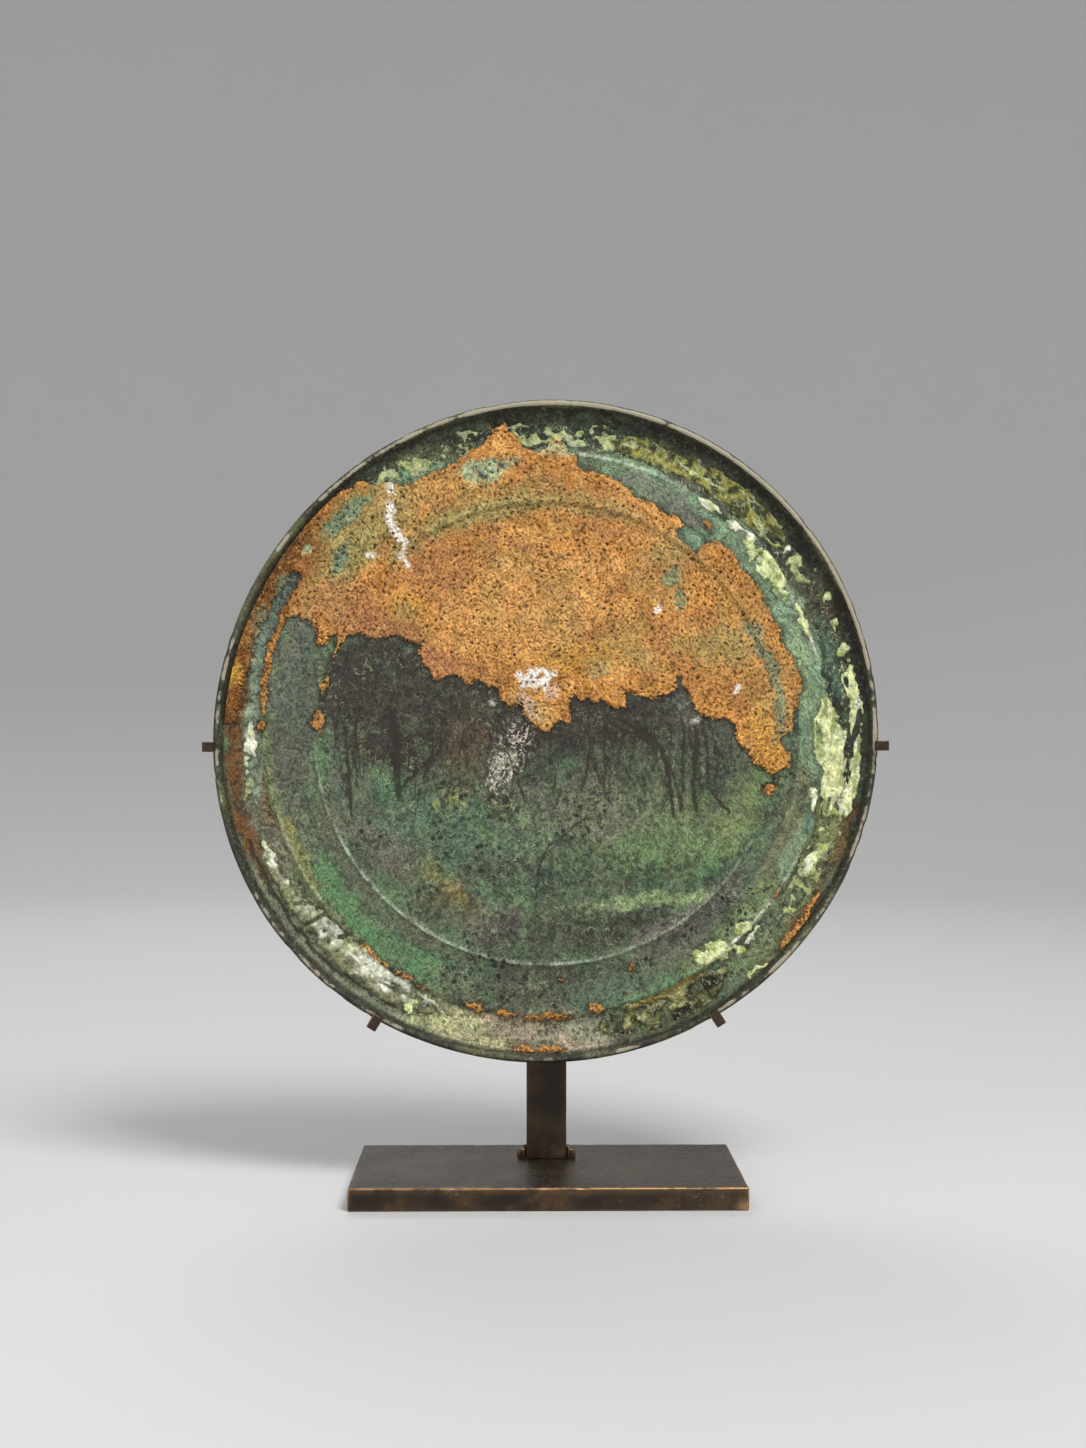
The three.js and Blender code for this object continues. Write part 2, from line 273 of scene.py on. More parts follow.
# Prominent dark strokes in the patina of the field: (points, width, strength).
STREAKS = (
    (((-64, 2), (-62.6, -12), (-61.7, -26)), 0.9, 0.95), (((-60.2, 4), (-60.6, -6), (-60, -17)), 0.5, 0.85),
    (((-60.4, -5), (-55.6, -1.6)), 0.4, 0.75), (((-49, 6), (-47.7, -8), (-46.5, -20)), 1.9, 0.85),
    (((-47, 2), (-46.6, -9), (-46.9, -21)), 0.8, 1.0),
    (((-46.8, -18.6), (-41, -12.4), (-34.3, -6.8), (-33, -3)), 0.7, 1.0),
    (((14.5, -2), (12.6, -12), (10.8, -19)), 0.8, 0.7),
    (((25, 4), (34.6, -3.6), (38.2, -11), (39.9, -26)), 1.2, 0.85),
    (((28, 4), (36.5, -4.5), (40.3, -14), (42.4, -25)), 0.6, 0.9),
    (((43.6, 3), (43.2, -10), (42.6, -24)), 0.6, 0.9), (((20, 3), (30, -1.5), (37.3, -7)), 1.0, 0.7),
    (((47.2, 2), (46.4, -12.6), (46.9, -25)), 1.0, 0.95),
    (((50.2, -1), (51.3, -17.5), (57.8, -26)), 0.7, 0.9),
    (((-3.4, -52), (-2.2, -42), (0.5, -35.5), (6, -32.5), (13, -26)), 0.6, 0.75),
)

# Finer ones hang from under the crust: (from x, to x, how many).
STREAK_GROUPS = ((-70, -40, 12), (-30, -6, 6), (0, 24, 14), (24, 60, 30))


def fine_streaks():
    """Strokes that run down from the crust's edge and waver, some with a thin branch up to one side."""
    rng = np.random.default_rng(12)
    strokes = []
    for left, right, count in STREAK_GROUPS:
        for x in rng.uniform(left, right, count):
            top, foot, lean = rng.uniform(0, 8), rng.uniform(-26, -8), rng.uniform(-0.35, 0.35)
            heights = np.linspace(top, foot, 5)
            bend = rng.uniform(-0.7, 0.7, 5)
            line = [(x + lean * (h - foot) + b, h) for h, b in zip(heights, bend)]
            strokes.append((line, rng.uniform(0.2, 0.7), rng.uniform(0.35, 0.8)))
            if rng.random() < 0.7:
                start, side = line[3], rng.choice((-1, 1))
                length = rng.uniform(4, 12)
                tip = (start[0] + side * length * rng.uniform(0.3, 0.9), start[1] + length)
                strokes.append(((start, tip), rng.uniform(0.2, 0.45), rng.uniform(0.35, 0.7)))
    return strokes


# ---- colours


def linear(code):
    """A colour in linear light from its six-digit screen code."""
    s = np.array([int(code[k : k + 2], 16) / 255 for k in (0, 2, 4)])
    return np.where(s <= 0.04045, s / 12.92, ((s + 0.055) / 1.055) ** 2.4)


TONES = dict(
    green="5a664e", deep="38463a", greygreen="60624f", vivid="5e8a5a", grass="8c9c60", teal="567a64",
    slate="566058", char="3a352f", ash="5a5950", soot="1c1a14", umber="5e4e38", bark="2a241c",
    rust="6c4822", gold="8e7c40", moss="8c8a44", mossdark_and_shade="2c301f", lime="ced79c", limedeep="909e58",
    cream="e2e4cc", chalk="d2d4be", chalkdark="8a8874", scab="5c5d38", scablight="a0a068", mauve="706a62",
    beige="b09c80", night="24261c", speck="9aa47e", bead="a8b49e", lip="3c382f", lippale="b4ac94",
    olive="727450", sand="bcae8c", dust="aab27c", pale="d8dca0", tan="807856", ivory="cfc4b4",
    straw="98a060", mint="88a482", fern="94a876", pewter="84947e", white="f8f0e4", crust="c88c48",
    crustlight="e2ac66", crustdark="a8743e", crustpit="38220f", crustgreen="98925a", crustteal="74886a",
    crustpink="ac764e", crustgold="c8983e", crustmint="a4b48c", crustslate="42565a", crustrust="74461e",
    brass="2e261f", brasslight="45382c", brassgold="5e4528", brassworn_and_lit="b48c5e", brassnick="a89880",
)
TONES = {name: linear(code) for name, code in TONES.items()}


def blend(paint, tone, strength):
    """Lays a tone over the paint, as strongly as strength says at each point."""
    return paint + (TONES[tone] - paint) * np.clip(strength, 0, 1)[:, None]


def coated(paint, *coats):
    """Lays on several: (tone, strength)."""
    for tone, strength in coats:
        paint = blend(paint, tone, strength)
    return paint


def clouded(base, x, z, *clouds):
    """A tone under clouds of others: (tone, strength, noise at which it starts, is full, size, seed)."""
    paint = np.tile(TONES[base], (len(x), 1))
    for tone, strength, low, high, size, seed in clouds:
        paint = blend(paint, tone, strength * smooth(low, high, noise(x, z, size, seed, 4)))
    return paint


def stained(paint, x, z, reach_of, stains, share=1.0, between=1.0, lean=0.5):
    """Lays stains one over another: (their shape, tone, strength, softness of the edge in mm).

    share weakens them all and between the crust's green, lean is how far the soft edge reaches out.
    """
    for *shape, tone, strength, soft in stains:
        edge = smooth(-soft * lean, soft * (1 - lean), reach_of(x, z, *shape))
        paint = blend(paint, tone, strength * edge * (between if tone == "crustgreen" else share))
    return paint


# Stains on the bronze, laid one over another, with painted shade among them in the hollow behind the rim.
# Along a ring: (start, end, inner, outer, tone, strength, softness in mm).
ARC_STAINS = (
    # the band inside the second step
    (180, 300, 73.8, 79, "greygreen", 0.8, 1.2), (262, 300, 73.8, 79, "slate", 0.5, 1.5),
    (300, 60, 73.8, 79, "teal", 0.6, 2), (60, 175, 73.8, 79, "green", 0.6, 2),
    (124, 160, 72, 80.5, "mauve", 0.7, 3), (126, 158, 74, 79, "char", 0.5, 2),
    (160, 200, 72, 79, "char", 0.55, 3),
    # the outer band
    (196, 262, 79.5, 88.8, "vivid", 0.55, 4), (210, 240, 79, 90, "vivid", 0.4, 5),
    (240, 304, 79, 88.6, "greygreen", 0.8, 3), (236, 276, 86, 89.4, "grass", 0.6, 1.2),
    (246, 300, 79, 88, "ash", 0.5, 3), (270, 296, 80, 85, "slate", 0.6, 3),
    (148, 205, 79, 88.6, "greygreen", 0.85, 3),
    (170, 196, 79.5, 86, "char", 0.35, 3), (148, 178, 82, 89, "teal", 0.35, 2.5),
    (146, 168, 85, 89, "vivid", 0.4, 2), (118, 152, 80, 88.6, "green", 0.8, 3),
    (94, 124, 78.5, 88.6, "tan", 0.4, 3), (106, 148, 84.5, 90, "mint", 0.55, 2.5),
    (96, 112, 85, 89, "teal", 0.6, 2), (120, 150, 82, 88.6, "grass", 0.45, 3),
    (236, 252, 86, 89.2, "gold", 0.6, 1.5), (52, 100, 79.5, 89, "mint", 0.75, 2.5),
    (68, 88, 79.5, 86, "fern", 0.6, 2.5), (10, 55, 76, 89, "mint", 0.55, 2.5),
    (14, 40, 80, 85.5, "mauve", 0.7, 2), (24, 42, 86.5, 89, "mint", 0.7, 1.2),
    (346, 24, 86, 89.6, "mint", 0.6, 1.2),
    # the hollow behind the rim
    # its upper half is dark partly from the hollow's own patina and partly as painted shade; the soot along
    # the lip's foot at the top is a painted shadow cast by the lip
    (296, 118, 89.3, 103, "night", 0.97, 1.2), (312, 346, 90, 98, "olive", 0.5, 3),
    (16, 84, 97, 103.5, "soot", 1.3, 2), (322, 16, 99, 103.5, "soot", 0.5, 1.5),
    (312, 352, 86, 94.4, "teal", 0.95, 1.5), (318, 344, 89, 93.4, "mint", 0.6, 1.2),
    (352, 12, 91, 98, "deep", 0.7, 3), (13, 50, 90, 99, "olive", 0.35, 3),
    (54, 76, 90, 98.5, "umber", 0.4, 4), (66, 84, 90.5, 95, "teal", 0.45, 2.5),
    (100, 112, 88.6, 99, "umber", 0.6, 3), (101, 134, 89, 100, "olive", 0.9, 3),
    (101, 126, 90, 98, "straw", 0.4, 3), (112, 138, 89, 96, "green", 0.7, 3),
    (104, 120, 97, 102, "rust", 0.6, 1.5), (118, 140, 97.5, 101.5, "rust", 0.7, 1.5),
    (126, 152, 89, 101, "green", 0.7, 3), (128, 146, 93, 99, "grass", 0.4, 3),
    (144, 170, 89, 101.5, "scab", 0.8, 2.5), (146, 162, 88.6, 91, "gold", 0.8, 1),
    (166, 208, 89, 101.5, "beige", 0.95, 2.5), (164, 180, 89, 99, "teal", 0.4, 4),
    (176, 196, 92, 98, "mauve", 0.4, 3), (170, 198, 99, 102, "sand", 0.7, 1),
    (180, 207, 98.6, 101.5, "grass", 0.5, 1.2), (190, 214, 89, 99.6, "lime", 0.45, 4),
    (192, 212, 90, 98, "straw", 0.3, 4), (204, 250, 88.9, 101.5, "olive", 0.85, 2),
    (206, 250, 96.5, 102, "chalkdark", 0.45, 1.5), (214, 240, 98.6, 101, "green", 0.5, 1.5),
    (238, 276, 88.9, 102, "umber", 0.9, 2), (244, 282, 96.6, 102, "rust", 0.95, 1.4),
    (250, 264, 88.7, 91.5, "rust", 0.75, 1.2), (240, 262, 89.6, 96.4, "chalkdark", 0.55, 2.5),
    (257, 300, 89.5, 96.5, "pewter", 0.95, 1.6), (284, 304, 89.5, 96, "slate", 0.7, 2),
    (272, 300, 96.5, 102, "rust", 0.8, 1.2), (300, 330, 97.5, 102.5, "deep", 0.8, 1.5),
)

# Anywhere inside the field: (x, z, long, wide, turn, tone, strength, softness in mm).
SPOT_STAINS = (
    (-46, 10, 56, 44, 0, "char", 1.4, 7), (8, 6, 130, 24, 0, "char", 1.3, 7),
    (-20, -4, 50, 30, 0, "char", 0.7, 9), (50, 2, 26, 22, -30, "ash", 0.8, 6),
    (30, -10, 50, 20, 0, "char", 0.35, 8), (-24, -6, 18, 30, 0, "umber", 0.55, 7),
    (10, -24, 50, 22, 0, "mauve", 0.45, 8), (-14.6, -22, 13, 12, 0, "bark", 0.7, 4),
    (46, -32, 46, 24, 14, "grass", 0.25, 8), (38, -40, 60, 22, 8, "vivid", 0.3, 8),
    (-40, -28, 60, 22, -20, "teal", 0.2, 8), (-20, -36, 70, 26, -12, "teal", 0.25, 9),
    (-52, -36, 30, 9, -52, "mauve", 0.75, 5), (-40, -48, 26, 9, -45, "umber", 0.4, 5),
    (-36, -46, 15, 7, -47, "gold", 0.5, 5), (-27.5, -52.5, 20, 8, -38, "gold", 0.5, 5),
    (-22.5, -59.5, 8, 4, -20, "moss", 0.5, 3), (-16, -62, 26, 13, -15, "mauve", 0.7, 6),
    (8, -64, 70, 15, 4, "char", 0.6, 6), (36, -53, 50, 5, 3, "fern", 1.2, 2.2),
    (58, -48, 18, 3.8, 30, "fern", 0.9, 2.2), (44, -60.5, 60, 7, 27, "mauve", 0.9, 3),
    (40, -62.5, 50, 4, 27, "char", 0.6, 3), (12.2, -28.5, 5, 4, 0, "rust", 0.6, 3),
    (-62, -18, 12, 40, 12, "slate", 0.5, 5), (62, -26, 14, 34, -24, "grass", 0.35, 6),
    (44, -38, 12, 6, 0, "char", 0.4, 4),
)

# Places where flecks lie close together: (x, z, long, wide, turn, tone, strength).
FLECKS = (
    (-12.6, -8, 24, 8, 64, "ivory", 0.4), (-14.6, -24, 14, 11, 0, "bark", 0.85),
    (-31, -22, 14, 10, 20, "straw", 0.75), (-32, -17.6, 12, 6, 10, "bark", 0.75),
    (47, 3.4, 7, 3.2, 65, "ivory", 1.0), (-17, 9.6, 4, 3, 0, "ivory", 0.9),
    (-60, -14, 12, 44, 6, "straw", 0.15), (20, -30, 90, 30, 0, "grass", 0.25),
    (10, -52, 110, 30, 0, "bark", 0.5), (0, -30, 120, 40, 0, "bark", 0.35),
)


def stain_and_shade_body(x, z, front):
    """The bronze's colours, from its lower layers to its upper ones, with painted shade in the upper hollow
    behind the rim and a painted shadow under the lip. The back has the lowest alone.
    """
    wx, wz = warped(x, z, (2.4, 9, 70, 71, 3), (1.0, 2.8, 76, 77, 3))
    paint = clouded(
        "green", x, z, ("deep", 0.75, -0.2, 0.5, 15, 72), ("greygreen", 0.8, -0.1, 0.5, 11, 73),
        ("vivid", 0.35, 0.05, 0.55, 7, 74),
    )
    patchy = front * (0.85 + 0.6 * noise(x, z, 4.5, 75, 4))
    in_field = smooth(75, 71, polar(x, z)[0])
    paint = stained(paint, wx, wz, spot_reach, SPOT_STAINS, patchy * in_field, lean=0.4)
    for k, (*shape, tone, strength) in enumerate(FLECKS):
        scattered = front * smooth(-0.05, 0.25, noise(x, z, 1.3, 150 + k, 2))
        paint = blend(paint, tone, strength * smooth(-0.4, 1.6, spot_reach(x, z, *shape)) * scattered)
    paint = stained(paint, wx, wz, arc_reach, ARC_STAINS, patchy)
    return paint * (1 + 0.25 * noise(x, z, 2.6, 78, 3))[:, None]


# Painted highlights along the crests of the rings, where the light catches them: (radius, middle, half the
# stretch, tone, strength).
RING_HIGHLIGHTS = (
    (73.2, 215, 70, "bead", 0.65), (73.2, 150, 40, "bead", 0.4), (88.4, 16, 22, "cream", 0.3),
    (88.5, 67, 10, "cream", 0.8), (88.4, 132, 20, "cream", 0.75), (88.4, 240, 20, "lime", 0.25),
)

# Stains on the crust: along a ring, and anywhere, as for the bronze.
CRUST_ARC_STAINS = (
    (316, 24, 70, 76, "crustgreen", 0.95, 3.5), (20, 62, 71, 75.5, "crustgreen", 0.45, 3),
    (58, 95, 71.6, 75.4, "crustteal", 0.85, 2), (294, 322, 76, 92, "crustgreen", 0.6, 5),
    (306, 322, 78, 88, "crustgreen", 0.6, 5), (238, 286, 94, 103, "crustrust", 0.9, 2),
    (282, 318, 90, 103, "crustrust", 0.6, 5), (290, 312, 95, 104, "crustpit", 0.5, 3),
    (60, 92, 64, 71, "crustgreen", 0.35, 5), (318, 350, 77, 90, "crustgreen", 0.3, 5),
    (64, 92, 75, 79, "crustgreen", 0.3, 3),
)
CRUST_SPOT_STAINS = (
    (-57, 66, 34, 20, 42, "crustgreen", 0.9, 6), (-63, 68.3, 17, 5, 40, "crustteal", 1, 3),
    (-58, 73, 8, 3, 40, "crustteal", 0.9, 2.4), (-65.8, 54, 9, 4.6, 60, "crustteal", 1, 2.4),
    (-76.4, 57.6, 4, 3, 60, "crustmint", 0.8, 1.2), (-30, 68, 22, 8, 22, "crustgreen", 0.7, 4),
    (-18.6, 82.8, 17, 6, 12, "crustmint", 1, 2), (-21.2, 81.6, 3.6, 2.6, 20, "crustslate", 1, 1.4),
    (-14.2, 83.6, 3.4, 3, 0, "crustslate", 1, 1.4), (3, 89.4, 17, 4, 0, "crustmint", 0.75, 2),
    (-45, 39, 12, 9, -35, "crustgold", 0.5, 4), (-44, 37, 8, 5, -35, "crustgreen", 0.6, 3),
    (-64, 40, 26, 14, 0, "crustpink", 0.6, 6), (-50, 31, 30, 12, -20, "crustpink", 0.7, 5),
    (-34, 20, 16, 10, -40, "crustpink", 0.7, 4), (38, 57, 10, 7, 0, "crustgreen", 0.7, 4),
    (40, 49, 5, 7, 0, "crustteal", 0.9, 2.2), (42, 41, 4, 5, 10, "crustteal", 0.8, 2),
    (36, 50, 20, 22, 0, "crustgreen", 0.35, 7), (27, 34, 12, 8, 0, "crustgreen", 0.5, 5),
    (56, 26, 18, 14, 0, "crustgreen", 0.7, 6), (17, 21, 7, 6, 0, "crustteal", 0.7, 3),
    (27, 24, 20, 10, -30, "crustgreen", 0.6, 5), (10, 24, 30, 12, 0, "crustgold", 0.45, 6),
    (62, 42, 12, 20, 40, "crustgreen", 0.25, 6), (-8, 40, 60, 30, 15, "crustlight", 0.35, 9),
    (-36, 52, 26, 16, 10, "crustpink", 0.45, 6), (20, 68, 40, 14, -16, "crustpink", 0.3, 6),
    (70, -4, 12, 22, 30, "crustgold", 0.5, 5), (-100, 22, 6, 14, 10, "crustgold", 0.85, 3),
    (44, 6, 26, 10, -30, "crustgold", 0.35, 5), (9, 84, 22, 7, -10, "crustdark", 0.4, 4),
    (-83, 45.6, 5, 8, -20, "crustteal", 0.8, 2), (-90, 34, 4, 14, -20, "crustteal", 0.6, 2),
    (60, 46, 26, 14, -50, "crust", 0.5, 5),
)

# White spots and smears: (x, z, long, wide, turn, strength), and one smear down a line.
CHALK_SPOTS = (
    (-3.5, 19, 9.5, 3.8, 4, 1.0), (-0.8, 16.5, 5.5, 8, -10, 1.0), (-5.4, 17, 5, 6, 0, 0.85),
    (1.6, 13.5, 5, 6, 0, 0.35), (-6, 8, 5, 10, 30, 0.3), (34.4, 39, 2.6, 4.2, 10, 1.0),
    (60, 14.5, 4.4, 2.2, 25, 0.9), (-55, 56, 2.2, 1.8, 0, 0.9),
)
GROOVE_SHADE = (0.50, 0.58, 0.64)
CHALK_LINE = ((-50.5, 80), (-49.4, 72), (-48.6, 66), (-46, 60), (-44, 54))


def stain_crust(x, z, reach, folds, pit):
    """The crust's colours. Its grooves and pits are darker, worn places greener between the ridges, and its
    edge is darkened with painted shade.
    """
    wx, wz = warped(x, z, (2.0, 6, 80, 81, 3), (0.8, 2, 88, 89, 3))
    groove = smooth(0.2, 0.95, -folds)
    paint = clouded(
        "crust", x, z, ("crustlight", 0.6, 0, 0.6, 5, 82), ("crustdark", 0.65, 0, 0.6, 10, 83),
        ("crustpink", 0.4, 0.1, 0.6, 8, 86), ("crustgreen", 0.35, 0.15, 0.6, 9, 87),
    )
    for reach_of, stains in ((arc_reach, CRUST_ARC_STAINS), (spot_reach, CRUST_SPOT_STAINS)):
        paint = stained(paint, wx, wz, reach_of, stains, between=0.5 + 0.5 * smooth(0.5, -0.4, folds))
    paint = paint * ((1 + 0.25 * noise(x, z, 2.4, 84)) * (0.94 + 0.2 * smooth(0.3, 0.9, folds)))[:, None]
    paint = paint * (1 - groove[:, None] * np.array(GROOVE_SHADE))
    white = 0.95 * smooth(-0.9, 0.6, line_reach(wx, wz, CHALK_LINE, 1.7))
    for *shape, strength in CHALK_SPOTS:
        white = np.maximum(white, strength * smooth(-0.5, 0.5, spot_reach(wx, wz, *shape)))
    white = white * smooth(-0.6, 0.0, noise(x, z, 2.2, 85)) * (1 - 0.35 * groove)
    # painted shade along the crust's edge, where it meets the bronze
    border = 0.55 * smooth(0.6, -0.1, reach)
    return coated(paint, ("white", white), ("crustpit", 0.92 * pit), ("crustpit", border))


# ---- meshes

mirror_low, mirror_high = (np.array(corner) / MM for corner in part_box("mirror"))


def rim_swell(clock):
    """How far the rim stands out of its circle at a clock angle, in radians."""
    return sum(far * np.cos(lobes * (clock - math.radians(to))) for lobes, far, to in RIM_SWELL)


def rim_centre():
    """The middle of the mirror as x and z: where the swollen rim fills the node's box."""
    clock = np.linspace(0, 2 * math.pi, 3600)
    edge = RIM_RADIUS + rim_swell(clock)
    middle = []
    for axis, reach in ((0, edge * np.sin(clock)), (2, edge * np.cos(clock))):
        middle.append((mirror_low[axis] + mirror_high[axis] - reach.max() - reach.min()) / 2)
    return middle


CENTRE_X, CENTRE_Z = rim_centre()
RIM_BACK_Y = mirror_high[1] - BACK_DOME


def rounded_profile():
    """The profile walked in even steps, with its corners rounded."""
    points = np.array(PROFILE, float)
    walked = np.concatenate([[0], np.cumsum(np.hypot(*np.diff(points, axis=0).T))])
    at = np.arange(0, walked[-1], PROFILE_STEP)
    reach = 4 * PROFILE_ROUNDING
    away = np.arange(-reach, reach + PROFILE_STEP / 2, PROFILE_STEP)
    bell = np.exp(-((away / PROFILE_ROUNDING) ** 2) / 2)
    bell /= bell.sum()
    pad = len(bell) // 2
    soft = []
    for axis, sign in ((0, -1), (1, 1)):
        line = np.interp(at, walked, points[:, axis])
        line = np.concatenate([sign * line[pad:0:-1], line, sign * line[-2 : -pad - 2 : -1]])
        soft.append(np.convolve(line, bell, "valid"))
    return soft[0], soft[1]


PROFILE_R, PROFILE_H = rounded_profile()
CREST = int(np.argmax(PROFILE_H))


def front_height(r):
    """The front's height at a radius inside the crest of the lip."""
    return np.interp(r, PROFILE_R[CREST:][::-1], PROFILE_H[CREST:][::-1])


def ring_counts(radii, spacing):
    return np.maximum(6, np.round(2 * math.pi * radii / spacing)).astype(int)


def stitch(counts):
    """Triangles between rings of points that follow one another."""
    triangles = []
    starts = np.concatenate([[0], np.cumsum(counts)])
    for k in range(len(counts) - 1):
        a, b = counts[k], counts[k + 1]
        i, j = np.arange(a), np.arange(b)
        over = -((a - (2 * i + 1) * b) // (2 * a)) % b
        under = ((2 * j + 1) * a + b) // (2 * b) % a
        triangles.append(np.stack([starts[k] + i, starts[k] + (i + 1) % a, starts[k + 1] + over], 1))
        triangles.append(np.stack([starts[k] + under, starts[k + 1] + (j + 1) % b, starts[k + 1] + j], 1))
    return np.concatenate(triangles)


def cap(start, count, centre, flip):
    """A fan from a ring to one point."""
    i = np.arange(count)
    fan = np.stack([start + i, start + (i + 1) % count, np.full(count, centre)], 1)
    return fan[:, ::-1] if flip else fan


def place(r, clock, height):
    """Points of the mirror from radii, clock angles in radians and heights in front of the rim's back."""
    grown = r + rim_swell(clock) * smooth(SWELL_FROM, SWELL_FULL, r)
    return CENTRE_X + grown * np.sin(clock), RIM_BACK_Y - height, CENTRE_Z + grown * np.cos(clock)


def link(name, data):
    """An object for a mesh, a light or a camera, in the scene."""
    made = bpy.data.objects.new(name, data)
    bpy.context.scene.collection.objects.link(made)
    return made


def make_object(name, points, triangles, material, **layers):
    """A smooth mesh object from points in mm. A layer is one number or one colour a point."""
    mesh = bpy.data.meshes.new(name)
    mesh.from_pydata(points * MM, [], triangles)
    mesh.shade_smooth()
    mesh.materials.append(material)
    for layer, values in layers.items():
        kind, key = "FLOAT", "value"
        if values.ndim == 2:
            kind, key = "FLOAT_COLOR", "color"
            values = np.concatenate([np.clip(values, 0, 1), np.ones((len(values), 1))], 1)
        data = mesh.attributes.new(layer, kind, "POINT").data
        data.foreach_set(key, values.astype(np.float32).ravel())
    return link(name, mesh)


def carry(piece, node):
    """The piece rides with the root body and stands for a CAD node, which is hidden."""
    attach(piece, "root")
    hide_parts(node)


def body_relief(x, z):
    """How far the old bronze stands out of its turned form, in mm."""
    r, _ = polar(x, z)
    hollow = smooth(88, 91, r) * smooth(LIP_FOOT, 99, r)
    relief = 0.16 * noise(x, z, 34, 11, 2) + 0.09 * noise(x, z, 8, 12) + 0.06 * noise(x, z, 2.6, 13, 2)
    relief = relief + hollow * (0.3 * noise(x, z, 10, 14) + 0.2 * noise(x, z, 3.4, 15))
    return relief - 0.6 * smooth(-0.5, 0.4, seam_reach(x, z))


def seam_reach(x, z):
    """The long crack along the foot of the rim at the lower left."""
    return arc_reach(*warped(x, z, (1.2, 6, 16, 17, 3)), 206, 250, 99.2, 100.2)


def body_rings():
    """The steps of the profile that carry a ring of points, and how many points each has."""
    behind = (np.arange(len(PROFILE_R)) < CREST) & (PROFILE_H < 0.25)
    rings, gap = [1], 0.0
    for k in range(2, len(PROFILE_R) - 4):
        gap += PROFILE_STEP
        r = PROFILE_R[k]
        if behind[k] and r < 100:
            wanted = BACK_SPACING
        elif any(low < r < high for low, high in EDGE_RINGS):
            wanted = EDGE_SPACING
        else:
            wanted = FIELD_SPACING if r < 72 else BODY_SPACING
        if gap >= wanted:
            rings.append(k)
            gap = 0.0
    rings = np.array(rings)
    radii = PROFILE_R[rings]
    before = np.interp(radii, [71, 73, 100, 102], [FIELD_SPACING, BODY_SPACING, BODY_SPACING, LIP_SPACING])
    on_back = np.interp(radii, [96, 102], [BACK_SPACING, 1.2])
    return rings, ring_counts(radii, np.where(behind[rings], on_back, before))


def make_body():
    """The cast disc in one closed mesh, and its points' place, side, radius and height."""
    rings, counts = body_rings()
    clock = np.concatenate([np.arange(n) * 2 * math.pi / n for n in counts])
    step_r, step_h = np.gradient(PROFILE_R), np.gradient(PROFILE_H)
    length = np.hypot(step_r, step_h)
    along = (PROFILE_R, PROFILE_H, step_h / length, -step_r / length)
    r, h, out_r, out_h = (np.repeat(values[rings], counts) for values in along)
    front = np.repeat(rings > CREST, counts)
    x, z = r * np.sin(clock), r * np.cos(clock)
    knock = 0.07 * noise(x, z, 9, 21) - 0.18 * smooth(0.3, 0.6, noise(x, z, 4.5, 22))
    inside_lip = np.where(front, body_relief(x, z), 0.1 * noise(x, z, 20, 23))
    push = np.where(r < LIP_FOOT, inside_lip, knock)
    points = np.stack(place(r + push * out_r, clock, h + push * out_h), 1)
    total = len(points)
    points = np.concatenate([points, [place(0.0, 0.0, height) for height in (PROFILE_H[0], PROFILE_H[-1])]])
    caps = cap(0, counts[0], total, True), cap(total - counts[-1], counts[-1], total + 1, False)
    triangles = np.concatenate([stitch(counts), *caps])[:, ::-1]
    x, z = points[:, 0] - CENTRE_X, points[:, 2] - CENTRE_Z
    front, r, h = np.append(front, [False, True]), np.append(r, [0, 0]), np.append(h, [-1, 3])
    return points, triangles, x, z, front, r, h


# Growths end at a radius, go on a little past their outline as a steep edge, and have their flat underside
# at a height inside the bronze. Patches of fewer triangles or of a smaller reach are left out.
GROWTH_LIMIT, GROWTH_EDGE, ROOT_HEIGHT = 101.3, 0.3, 1.0
SMALLEST_PATCH, LOWEST_PATCH = 16, 0.2
FAR_OUTSIDE = -9.0


def keep_whole(triangles, count):
    """The triangles less those where the sheet only touches itself at a point, and its border's edges."""
    while True:
        edges = np.concatenate([triangles[:, [0, 1]], triangles[:, [1, 2]], triangles[:, [2, 0]]])
        code, back = edges[:, 0] * count + edges[:, 1], edges[:, 1] * count + edges[:, 0]
        border = edges[~np.isin(code, back)]
        pinched = np.bincount(border[:, 0], minlength=count) > 1
        if not pinched.any():
            return triangles, border
        triangles = triangles[~pinched[triangles].any(1)]


def islands(triangles, count):
    """A number for each point that is the same all over one connected sheet."""
    label = np.arange(count)
    while True:
        low = label[triangles].min(1)
        before = label.copy()
        for corner in range(3):
            np.minimum.at(label, triangles[:, corner], low)
        label = label[label]
        if (label == before).all():
            return label


def make_growth(name, reach_of, spacing, surface_of, material, inner):
    """A closed piece that grows on the front where reach_of is positive, rooted in the bronze below.

    surface_of gives its points' heights and colours.
    """
    radii = np.arange(inner + spacing, GROWTH_LIMIT, spacing)
    counts = ring_counts(radii, spacing)
    clock = np.concatenate([(np.arange(n) + 0.5 * (k % 2)) * 2 * math.pi / n for k, n in enumerate(counts)])
    r = np.repeat(radii, counts)
    x, _, z = place(r, clock, 0 * r)
    x, z = x - CENTRE_X, z - CENTRE_Z
    reach = reach_of(x, z)
    triangles = stitch(counts)
    sheet, _ = keep_whole(triangles[(reach[triangles] > -GROWTH_EDGE).all(1)], len(r))
    label = islands(sheet, len(r))
    size = np.bincount(label[sheet[:, 0]], minlength=len(r))
    tallest = np.full(len(r), FAR_OUTSIDE)
    np.maximum.at(tallest, label[sheet[:, 0]], reach[sheet].max(1))
    large = (size > SMALLEST_PATCH) & (tallest > LOWEST_PATCH)
    sheet, border = keep_whole(sheet[large[label[sheet[:, 0]]]], len(r))
    used = np.unique(sheet)
    number = np.full(len(r), -1)
    number[used] = np.arange(len(used))
    sheet, border = number[sheet], number[border]
    x, z, r, reach = x[used], z[used], r[used], reach[used]
    height, paint = surface_of(x, z, r, reach)
    points = np.stack([CENTRE_X + x, RIM_BACK_Y - height, CENTRE_Z + z], 1)
    return close_below(name, points, sheet, border, paint, material)


